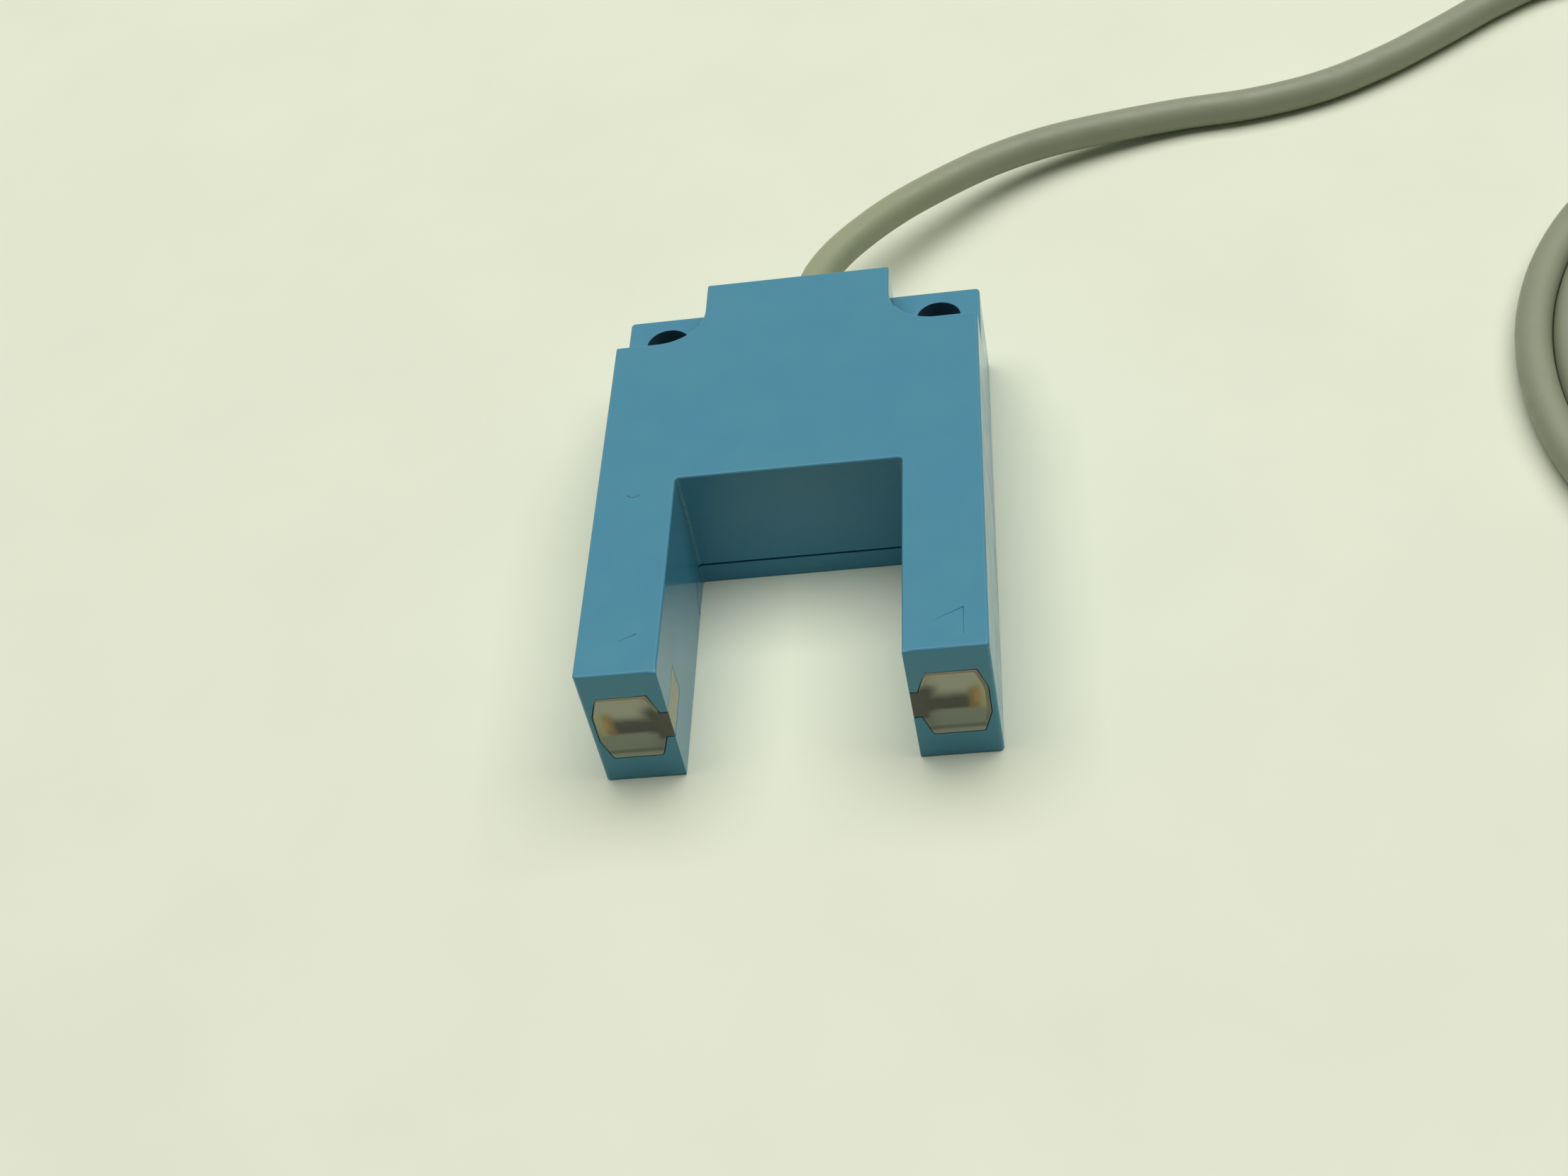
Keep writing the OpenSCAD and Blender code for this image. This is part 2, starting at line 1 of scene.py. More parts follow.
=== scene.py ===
"""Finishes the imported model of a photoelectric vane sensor: painted fork casting, window mouldings,
seals, cable with its coil and stripped end, the parts inside, and a pale stage.

Places are in metres in the model's own frame: X across the slot, the legs towards -Y, Z up.
"""

import math

import bmesh
import bpy
import numpy as np
from bpy.props import FloatProperty, FloatVectorProperty, IntProperty, PointerProperty
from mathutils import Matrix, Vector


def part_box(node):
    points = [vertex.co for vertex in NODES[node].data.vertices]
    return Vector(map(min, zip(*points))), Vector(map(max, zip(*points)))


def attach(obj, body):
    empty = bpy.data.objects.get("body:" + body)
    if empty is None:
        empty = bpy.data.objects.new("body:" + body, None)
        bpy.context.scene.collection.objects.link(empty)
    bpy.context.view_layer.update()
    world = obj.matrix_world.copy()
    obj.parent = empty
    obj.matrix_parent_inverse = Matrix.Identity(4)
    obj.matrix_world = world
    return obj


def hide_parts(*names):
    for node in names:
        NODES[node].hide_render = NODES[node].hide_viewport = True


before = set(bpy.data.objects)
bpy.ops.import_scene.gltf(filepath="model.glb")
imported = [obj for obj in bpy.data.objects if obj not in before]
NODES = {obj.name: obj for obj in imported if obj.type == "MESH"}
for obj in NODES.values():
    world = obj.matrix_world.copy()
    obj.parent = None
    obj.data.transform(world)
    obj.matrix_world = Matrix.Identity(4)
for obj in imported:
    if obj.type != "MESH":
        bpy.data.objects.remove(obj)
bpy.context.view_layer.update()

bl_info = {
    "name": "Vane Sensor Finisher",
    "version": (1, 0, 0),
    "blender": (4, 5, 0),
    "location": "View3D > Sidebar > Vane Sensor",
    "description": "Finishes a packed photoelectric vane sensor and sets its stage",
    "category": "Object",
}

MM = 0.001
UP = np.array([0.0, 0.0, 1.0])
HOUSING_LOW, HOUSING_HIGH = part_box("housing")
WINDOW_LOW, WINDOW_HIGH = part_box("receiver_window")
BUSH_LOW, BUSH_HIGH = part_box("cable_bush")
CABLE_HEIGHT = (BUSH_LOW.z + BUSH_HIGH.z) / 2

# Middle lines of the engraved beam marks, from their deep end to the shallow one, in millimetres
MARK_LINES = (((22.5, -30.5), (19.0, -32.3)), ((22.5, -30.5), (22.5, -34.8)),
              ((-18.0, -30.5), (-20.0, -31.5)))

# A small curved nick in the paint of the left leg: its middle and radius in millimetres
NICK = (-20.45, -5.07, 0.9)


# Settings a user would change

def length(name, description, default):
    """A length property given in millimetres and kept in metres."""
    return FloatProperty(name=name, description=description, default=default * MM, min=0.0,
                         unit="LENGTH", precision=5)


def tint(name, description, red, green, blue):
    """A colour property given as display values from 0 to 255."""
    return FloatVectorProperty(name=name, description=description, subtype="COLOR_GAMMA", size=3,
                               default=(red / 255, green / 255, blue / 255), min=0.0, max=1.0)


class CastingSettings(bpy.types.PropertyGroup):
    """Edges and paint of the casting and its cover."""
    edge_round: length("Edge rounding", "Radius of the casting's outer edges", 0.34)
    slot_half: length("Half slot", "Half the width of the slot", 15)
    slot_end: length("Slot end", "How far the slot's end lies in front of the middle", 3)
    ear_top: length("Ear height", "Height of the ears' top faces", 14.4)
    shoulder: length("Shoulder", "How far the ears' steps lie behind the middle", 25)
    hole_x: length("Holes across", "Distance of the mounting holes from the middle plane", 19.6)
    hole_y: length("Holes behind", "How far the mounting holes lie behind the middle", 31.5)
    hole_radius: length("Hole radius", "Radius of the mounting holes", 3.1)
    mark_depth: length("Mark depth", "Depth of the engraved marks", 0.15)
    paint: tint("Paint", "Main colour of the paint", 71, 140, 168)
    paint_far: tint("Paint drift", "Colour that the paint drifts to in patches", 74, 142, 166)
    primer: tint("Primer", "Colour that shows where an edge is rubbed", 128, 124, 92)
    peel: length("Orange peel", "Size of the paint's dimples", 0.55)


class WindowSettings(bpy.types.PropertyGroup):
    """Colours of the window mouldings."""
    edge_round: length("Edge rounding", "Radius of the windows' edges", 0.1)
    corner_round: length("Corner rounding", "Radius of the windows' lower corners", 0.5)
    slot_half: length("Half slot", "Half the width of the slot", 15)
    lip: length("Lip", "Paint between the slot and the window's wide part", 1)
    outer_side: length("Outer side", "Distance of the windows' outer sides from the middle", 24.7)
    panel: tint("Panel", "Upper part of the pale panel", 176, 177, 155)
    # The lower panel colour is painted shade: the panel drawn darker below
    panel_shaded: tint("Lower panel", "Lower part of the pale panel", 134, 142, 127)
    rim: tint("Rim", "Resin above the panel", 140, 126, 106)
    rim_side: tint("Side rim", "Resin beside the panel", 122, 122, 98)
    bright: tint("Bright line", "Thin line where the resin's edge catches the light", 196, 190, 160)
    # The shade colour is painted shade: the shadowed bore seen through the resin
    shade: tint("Shade", "Dark band across the panel", 52, 53, 42)
    # The neck colour is resin darkened by painted shade of the bore behind it
    neck: tint("Neck", "Resin where the window turns into the slot", 71, 69, 58)
    glow: tint("Glow", "Amber part seen through the resin", 142, 114, 56)
    hot: tint("Brightest glow", "Brightest part of the amber", 196, 146, 84)
    glow_edge: tint("Glow edge", "Yellow fringe of the amber part", 176, 172, 108)
    lens: tint("Lens", "The face that looks into the slot", 168, 169, 144)


class CableSettings(bpy.types.PropertyGroup):
    """Size, lay and colours of the cable."""
    diameter: length("Diameter", "Outer diameter of the cable", 5)
    coil_x: length("Coil across", "Place of the coil's middle along X", 162)
    coil_y: length("Coil behind", "Place of the coil's middle along Y", 17)
    outer_turn: length("Outer turn", "Radius of the outermost turn's middle line", 61.5)
    pitch: length("Pitch", "Distance from one turn to the next", 5.1)
    flat_turns: IntProperty(name="Flat turns", description="Turns that lie on the surface",
                            default=4, min=2, max=6)
    tie_lift: length("Tie lift", "How far the tie raises the turns that it passes under", 0.6)
    tie_angle: FloatProperty(name="Tie angle", description="Where the tie sits on the coil",
                             default=math.radians(-30), subtype="ANGLE")
    jacket: tint("Jacket", "Colour of the cable's jacket", 140, 146, 123)
    jacket_aged: tint("Aged jacket", "Yellowed jacket near the sensor", 149, 156, 122)


class StageSettings(bpy.types.PropertyGroup):
    """Floor, lamps and camera."""
    floor: tint("Floor", "Colour of the floor", 236, 241, 220)
    floor_reach: length("Floor reach", "How far the floor goes from the middle", 2400)
    key_power: FloatProperty(name="Lamp power", description="Power of the large lamp", default=116.0,
                             min=0.0, unit="POWER")
    lamp_width: length("Lamp width", "Width of the large lamp", 4500)
    lamp_depth: length("Lamp depth", "Depth of the large lamp", 2700)
    lamp_place: FloatVectorProperty(name="Lamp place", description="Where the large lamp hangs",
                                    default=(0.4, 0.84, 2.85), subtype="TRANSLATION")
    sky: FloatProperty(name="Sky", description="Strength of the even light from all round",
                       default=0.06, min=0.0)
    lens: FloatProperty(name="Lens", description="Focal length on a 36 mm wide sensor",
                        default=51.032, min=1.0)
    camera_place: FloatVectorProperty(name="Camera place", description="Where the camera stands",
                                      default=(0.039491, -0.214666, 0.215789), subtype="TRANSLATION")
    camera_turn: FloatVectorProperty(name="Camera turn", description="How the camera is turned",
                                     default=(math.radians(43.936), math.radians(9.3002),
                                              math.radians(2.1289)), subtype="EULER")


# Lines and surfaces

def ease(share):
    """0 before 0, 1 after 1, and 3t^2 - 2t^3 between them."""
    share = np.clip(share, 0, 1)
    return share * share * (3 - 2 * share)


def unit(vectors):
    """The same directions at length 1."""
    return vectors / np.linalg.norm(vectors, axis=-1, keepdims=True)


def run_of(line):
    """Distance along a line at each of its points."""
    return np.concatenate([[0], np.cumsum(np.linalg.norm(np.diff(line, axis=0), axis=1))])


def at_run(line, run):
    """Points of a line at the distances run along it."""
    own = run_of(line)
    return np.stack([np.interp(run, own, line[:, axis]) for axis in range(3)], axis=1)


def smooth_line(points, step):
    """A smooth line through chosen points, in even steps.

    Each span is a cubic from its two ends and their slopes. A slope is the mean of the slopes
    of the spans on both sides, weighted by the other span's length.
    """
    knots = run_of(points)
    spans = np.diff(points, axis=0) / np.diff(knots)[:, None]
    widths = np.diff(knots)
    inner = (spans[:-1] * widths[1:, None] + spans[1:] * widths[:-1, None])
    slopes = np.vstack([spans[:1], inner / (widths[:-1] + widths[1:])[:, None], spans[-1:]])
    run = np.linspace(0, knots[-1], int(knots[-1] / step) + 1)
    span = np.clip(np.searchsorted(knots, run, side="right") - 1, 0, len(widths) - 1)
    width = widths[span][:, None]
    t = (run - knots[span])[:, None] / width
    return ((2 * t**3 - 3 * t**2 + 1) * points[span] + (t**3 - 2 * t**2 + t) * width * slopes[span]
            + (3 * t**2 - 2 * t**3) * points[span + 1] + (t**3 - t**2) * width * slopes[span + 1])


def circle(radius, sides):
    """Points of a circle as a closed section."""
    angle = np.arange(sides) * 2 * math.pi / sides
    return radius * np.stack([np.cos(angle), np.sin(angle)], axis=1)


def swept(line, run, section, size=1.0, turn=0.0):
    """A closed section carried along a line, one ring of points for each distance in run.

    A section's point (a, b) goes to p + size (a side + b up). Side is level and across the
    line, up is across both, and both are turned about the line by turn. The headings come from
    the line, so that rings may step back along it.
    """
    own = run_of(line)
    slopes = np.gradient(line, own, axis=0)
    heading = unit(np.stack([np.interp(run, own, slopes[:, axis]) for axis in range(3)], axis=1))
    side = unit(np.cross(heading, UP))
    up = np.cross(side, heading)
    turn = np.broadcast_to(turn, len(run))[:, None]
    size = np.broadcast_to(size, len(run))[:, None, None]
    side, up = np.cos(turn) * side + np.sin(turn) * up, np.cos(turn) * up - np.sin(turn) * side
    places = at_run(line, run)[:, None]
    return places + size * (section[:, :1] * side[:, None] + section[:, 1:] * up[:, None])


NO_TRIANGLES = np.zeros((0, 3), int)


def grid_quads(rows, columns, closed_rows=False):
    """Corner numbers of the quads of a grid of points. Its rows are closed, its columns may be."""
    row = np.arange(rows if closed_rows else rows - 1)[:, None]
    column = np.arange(columns)[None]
    after, beside = (row + 1) % rows, (column + 1) % columns
    corners = (row * columns + column, row * columns + beside,
               after * columns + beside, after * columns + column)
    return np.stack(corners, axis=-1).reshape(-1, 4)


def new_piece(name, points, quads, triangles=NO_TRIANGLES):
    """A mesh object from arrays of points and faces, with smooth shading and outward faces."""
    mesh = bpy.data.meshes.new(name)
    mesh.from_pydata(points.tolist(), [], quads.tolist() + triangles.tolist())
    piece = bpy.data.objects.new(name, mesh)
    bpy.context.scene.collection.objects.link(piece)
    shape = bmesh.new()
    shape.from_mesh(mesh)
    bmesh.ops.recalc_face_normals(shape, faces=shape.faces)
    shape.to_mesh(mesh)
    shape.free()
    mesh.polygons.foreach_set("use_smooth", np.ones(len(mesh.polygons), bool))
    mesh.update()
    return piece


def tube_arrays(rings):
    """Points, quads and triangles of a tube from its rings, with a fan over each end."""
    rows, columns = rings.shape[:2]
    ends = np.stack([rings[0].mean(axis=0), rings[-1].mean(axis=0)])
    points = np.vstack([rings.reshape(-1, 3), ends])
    column = np.arange(columns)
    beside = (column + 1) % columns
    first, last = rows * columns, rows * columns + 1
    start = np.stack([np.full(columns, first), beside, column], axis=1)
    end = np.stack([np.full(columns, last), column + first - columns, beside + first - columns], axis=1)
    return points, grid_quads(rows, columns), np.vstack([start, end])


def joined(name, parts, materials):
    """Closed surfaces, each as points, quads and triangles, as one piece.

    The materials go to the parts in their order, and a single one goes to all of them.
    """
    starts = np.cumsum([0] + [len(points) for points, _, _ in parts])
    points = np.vstack([own for own, _, _ in parts])
    quads = np.vstack([own + start for (_, own, _), start in zip(parts, starts)])
    triangles = np.vstack([own + start for (_, _, own), start in zip(parts, starts)])
    piece = new_piece(name, points, quads, triangles)
    dress(piece, *materials)
    if len(materials) > 1:
        number = np.arange(len(parts), dtype=np.int32)
        index = [np.repeat(number, [len(part[kind]) for part in parts]) for kind in (1, 2)]
        piece.data.polygons.foreach_set("material_index", np.concatenate(index))
    return piece


# Copies of solids with rounded edges. An edge that bends by more than FORM_BEND, in degrees, may be
# rounded, and one that bends by more than SHARP_BEND and isn't rounded stays sharp.
FORM_BEND = 35
SHARP_BEND = 30


def read(items, field, width=1, kind=float):
    """One field of all the items of a mesh, as an array of that many columns."""
    values = np.zeros(len(items) * width, kind)
    items.foreach_get(field, values)
    return values.reshape(-1, width) if width > 1 else values


def whole_faced(name, node, cuts=()):
    """A copy of a solid's mesh, with its loose triangles merged into whole flat faces.

    The faces are parted where the planes in cuts (axis, place) cross them, so that no face has a
    hole that its rounded edges would have to reach around.
    """
    source = NODES[node].data
    source.calc_loop_triangles()
    points = read(source.vertices, "co", 3)
    corners = read(source.loop_triangles, "vertices", 3, np.int32)
    mesh = bpy.data.meshes.new(name)
    mesh.from_pydata(points.tolist(), [], corners.tolist())
    shape = bmesh.new()
    shape.from_mesh(mesh)
    bmesh.ops.remove_doubles(shape, verts=shape.verts, dist=0.002 * MM)
    bmesh.ops.recalc_face_normals(shape, faces=shape.faces)
    for axis, place in cuts:
        normal = np.eye(3)[axis]
        whole = [*shape.verts, *shape.edges, *shape.faces]
        cut = bmesh.ops.bisect_plane(shape, geom=whole, dist=0.0005 * MM, plane_co=place * normal,
                                     plane_no=normal)
        for edge in cut["geom_cut"]:
            if isinstance(edge, bmesh.types.BMEdge):
                edge.seam = True
    flat = math.radians(0.6)
    bmesh.ops.dissolve_limit(shape, angle_limit=flat, verts=shape.verts, edges=shape.edges,
                             delimit={"SEAM"})
    shape.to_mesh(mesh)
    shape.free()
    piece = bpy.data.objects.new(name, mesh)
    bpy.context.scene.collection.objects.link(piece)
    return piece


def edge_facts(mesh):
    """Of each edge: its middle, direction, two faces' normals, bend in degrees and if it is convex.

    An edge is convex where the second face falls away from the first: its normal then points
    against the first normal crossed with the edge, which points into the first face.
    """
    points = read(mesh.vertices, "co", 3)
    ends = read(mesh.edges, "vertices", 2, np.int32)
    normals = read(mesh.polygons, "normal", 3)
    loop_edge = read(mesh.loops, "edge_index", 1, np.int32)
    loop_start = read(mesh.loops, "vertex_index", 1, np.int32)
    totals = read(mesh.polygons, "loop_total", 1, np.int32)
    loop_face = np.repeat(np.arange(len(totals)), totals)
    order = np.argsort(loop_edge, kind="stable")
    edges = np.arange(len(ends))
    first = order[np.searchsorted(loop_edge[order], edges)]
    second = order[np.searchsorted(loop_edge[order], edges, side="right") - 1]
    one, other = normals[loop_face[first]], normals[loop_face[second]]
    along = points[ends[:, 1]] - points[ends[:, 0]]
    along = np.where((loop_start[first] == ends[:, 0])[:, None], along, -along)
    convex = np.sum(other * np.cross(one, along), axis=1) < 0
    bend = np.degrees(np.arccos(np.clip(np.sum(one * other, axis=1), -1, 1)))
    return points[ends].mean(axis=1), unit(along), one, other, bend, convex


def round_edges(piece, weights, bend, width):
    """Rounds each edge by its weight times width. An edge that bends and isn't rounded stays sharp."""
    layer = piece.data.attributes.new("bevel_weight_edge", "FLOAT", "EDGE")
    layer.data.foreach_set("value", weights.astype(np.float32))
    crease = piece.data.attributes.new("sharp_edge", "BOOLEAN", "EDGE")
    crease.data.foreach_set("value", (weights == 0) & (bend > SHARP_BEND))
    piece.data.polygons.foreach_set("use_smooth", np.ones(len(piece.data.polygons), bool))
    bevel = piece.modifiers.new("rounding", "BEVEL")
    bevel.limit_method = "WEIGHT"
    bevel.width = width
    bevel.segments = 3
    bevel.use_clamp_overlap = False
    bevel.harden_normals = True
    bevel.miter_outer = "MITER_SHARP"
    return bevel


def stand_in(piece, slot, *nodes):
    """The piece rides on the body and stands for some nodes, which it hides. The slot is not used."""
    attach(piece, "root")
    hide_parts(*nodes)
    return piece


# Finishes

def display(colour):
    """A display colour as the linear colour that the shader takes."""
    values = np.array(colour[:3], float)
    linear = np.where(values <= 0.04045, values / 12.92, ((values + 0.055) / 1.055) ** 2.4)
    return (*linear.tolist(), 1.0)


def bytes_colour(red, green, blue):
    """A linear colour from display values of 0 to 255."""
    return display((red / 255, green / 255, blue / 255))


class Finish:
    """A node material in the making. Each method adds nodes and gives back a socket.

    Sizes and depths are in millimetres.
    """

    def __init__(self, name, **fixed):
        self.material = bpy.data.materials.new(name)
        self.material.use_nodes = True
        self.tree = self.material.node_tree
        self.shader = self.tree.nodes["Principled BSDF"]
        for socket, value in fixed.items():
            self.shader.inputs[socket.replace("_", " ")].default_value = value
        self.place = self.add("ShaderNodeTexCoord").outputs["Object"]

    def add(self, kind, inputs=None, **settings):
        """A node with its settings, and its inputs linked or set."""
        node = self.tree.nodes.new(kind)
        for setting, value in settings.items():
            setattr(node, setting, value)
        for socket, value in (inputs or {}).items():
            if isinstance(value, bpy.types.NodeSocket):
                self.tree.links.new(value, node.inputs[socket])
            else:
                node.inputs[socket].default_value = value
        return node

    def stretched(self, x, y, z):
        """The place, with each direction scaled."""
        return self.add("ShaderNodeMapping", {"Vector": self.place, "Scale": (x, y, z)}).outputs[0]

    def noise(self, size, detail=2.0, rough=0.5, at=None):
        """Soft noise from 0 to 1 with patches about as large as size."""
        made = self.add("ShaderNodeTexNoise", {"Vector": at or self.place, "Scale": 1 / (size * MM),
                                               "Detail": detail, "Roughness": rough})
        return made.outputs["Fac"]

    def specks(self, spacing, radius, share):
        """1 inside scattered round specks. Share is the part of the cells that holds one."""
        cells = self.add("ShaderNodeTexVoronoi", {"Vector": self.place, "Scale": 1 / (spacing * MM)})
        inside = self.ramp(cells.outputs["Distance"], radius / spacing, 0.6 * radius / spacing)
        pick = self.add("ShaderNodeSeparateColor", {"Color": cells.outputs["Color"]}).outputs[0]
        return self.times(inside, self.calc("GREATER_THAN", pick, 1 - share))

    def ramp(self, value, low, high, start=0.0, end=1.0):
        """From start at low to end at high, with soft ends."""
        made = self.add("ShaderNodeMapRange", {"Value": value, "From Min": low, "From Max": high,
                                               "To Min": start, "To Max": end},
                        interpolation_type="SMOOTHSTEP")
        return made.outputs["Result"]

    def calc(self, operation, *values):
        """The result of one operation on numbers or sockets."""
        return self.add("ShaderNodeMath", dict(enumerate(values)), operation=operation).outputs[0]

    def times(self, *factors):
        """The product of numbers or sockets."""
        product = factors[0]
        for factor in factors[1:]:
            product = self.calc("MULTIPLY", product, factor)
        return product

    def apart(self, value, other):
        """How far a value lies from another one."""
        return self.calc("ABSOLUTE", self.calc("SUBTRACT", value, other))

    def blend(self, factor, first, second):
        """A colour between two others."""
        made = self.add("ShaderNodeMix", {0: factor, 6: first, 7: second}, data_type="RGBA")
        return made.outputs[2]

    def axes(self):
        """The place's three coordinates in millimetres."""
        scaled = self.add("ShaderNodeVectorMath", {0: self.place, "Scale": 1 / MM}, operation="SCALE")
        return self.add("ShaderNodeSeparateXYZ", {0: scaled.outputs[0]}).outputs

    def from_upright(self, x, y, middle_x, middle_y):
        """Distance from an upright line, from two coordinates and the line's place."""
        aside, ahead = self.calc("SUBTRACT", x, middle_x), self.calc("SUBTRACT", y, middle_y)
        return self.calc("SQRT", self.calc("ADD", self.times(aside, aside), self.times(ahead, ahead)))

    def dulled(self, size, detail, low, high):
        """Roughness that drifts between low and high, in patches about as large as size."""
        return self.ramp(self.noise(size, detail), 0.3, 0.7, low, high)

    def relief(self, height, depth, under=None):
        """A bump of that depth, over another one if given."""
        inputs = {"Height": height, "Distance": depth * MM, "Strength": 1.0}
        if under is not None:
            inputs["Normal"] = under
        return self.add("ShaderNodeBump", inputs).outputs["Normal"]

    def wear(self, colour, roughness, normal=None, metallic=None):
        """Links what varies over the surface to the shader, and gives the material."""
        given = {"Base Color": colour, "Roughness": roughness, "Normal": normal, "Metallic": metallic}
        for socket, value in given.items():
            if value is not None:
                self.tree.links.new(value, self.shader.inputs[socket])
        return self.material


def casting_paint(settings, name, rubbed=0.0):
    """Satin stoving paint: slight drift of hue, orange peel, dust nibs, and rubbed spots on edges.

    On it lie a curved nick, painted shade in the ears' bores, and grime with painted shade in the
    slot's rear corners.
    """
    finish = Finish(name, Specular_IOR_Level=0.3)
    calc, times, ramp = finish.calc, finish.times, finish.ramp
    blend, noise, relief = finish.blend, finish.noise, finish.relief
    x, y, z = finish.axes()
    aside, top = calc("ABSOLUTE", x), HOUSING_HIGH.z / MM

    paint, far = display(settings.paint), display(settings.paint_far)
    colour = blend(ramp(noise(9, 3, 0.55), 0.35, 0.65), paint, far)
    cloudy = ramp(noise(2.2), 0.3, 0.7, 0.0, 0.35)
    colour = blend(cloudy, colour, blend(0.1, paint, bytes_colour(70, 150, 190)))
    dark, pale = finish.specks(4.5, 0.09, 0.05), finish.specks(3.6, 0.07, 0.05)
    colour = blend(dark, colour, bytes_colour(26, 44, 52))
    colour = blend(pale, colour, bytes_colour(190, 200, 190))

    # The nick, the painted shade in the bores, and the grime with painted shade
    nick_x, nick_y, nick_radius = NICK
    ring = ramp(finish.apart(finish.from_upright(x, y, nick_x, nick_y), nick_radius), 0.1, 0.03)
    nick = times(ring, ramp(y, nick_y - 0.2, nick_y - 0.45), calc("GREATER_THAN", z, top - 0.1))
    colour = blend(nick, colour, bytes_colour(44, 92, 110))
    # Painted shade: the inside of the ears' bores is drawn darker
    from_hole = finish.from_upright(aside, y, settings.hole_x / MM, settings.hole_y / MM)
    bore = calc("LESS_THAN", from_hole, settings.hole_radius / MM + 0.02)
    colour = blend(times(bore, 0.7), colour, bytes_colour(66, 72, 70))
    # Grime and painted shade in the slot's rear corners, darker further down
    from_corner = finish.from_upright(aside, y, settings.slot_half / MM, -settings.slot_end / MM)
    grime_and_shade = times(ramp(from_corner, 0.7, 0.1), ramp(noise(0.5, 4, 0.7), 0.42, 0.66),
                  ramp(z, top - 0.3, top - 2.5, 0.0, 0.6))
    colour = blend(grime_and_shade, colour, bytes_colour(70, 80, 68))

    dullness = 0.0
    if rubbed:
        dullness = 0.22
        worn = ramp(noise(1.1, 4, 0.7), 0.76 - rubbed, 0.8 - rubbed)
        colour = blend(worn, colour, display(settings.primer))
    flow = relief(noise(6, 1), 0.012)
    peel = relief(noise(settings.peel / MM, 1.5, 0.6), 0.006, flow)
    nibs = relief(calc("SUBTRACT", pale, nick), 0.03, peel)
    return finish.wear(colour, finish.dulled(5, 3, 0.13 + dullness, 0.2 + dullness), nibs)


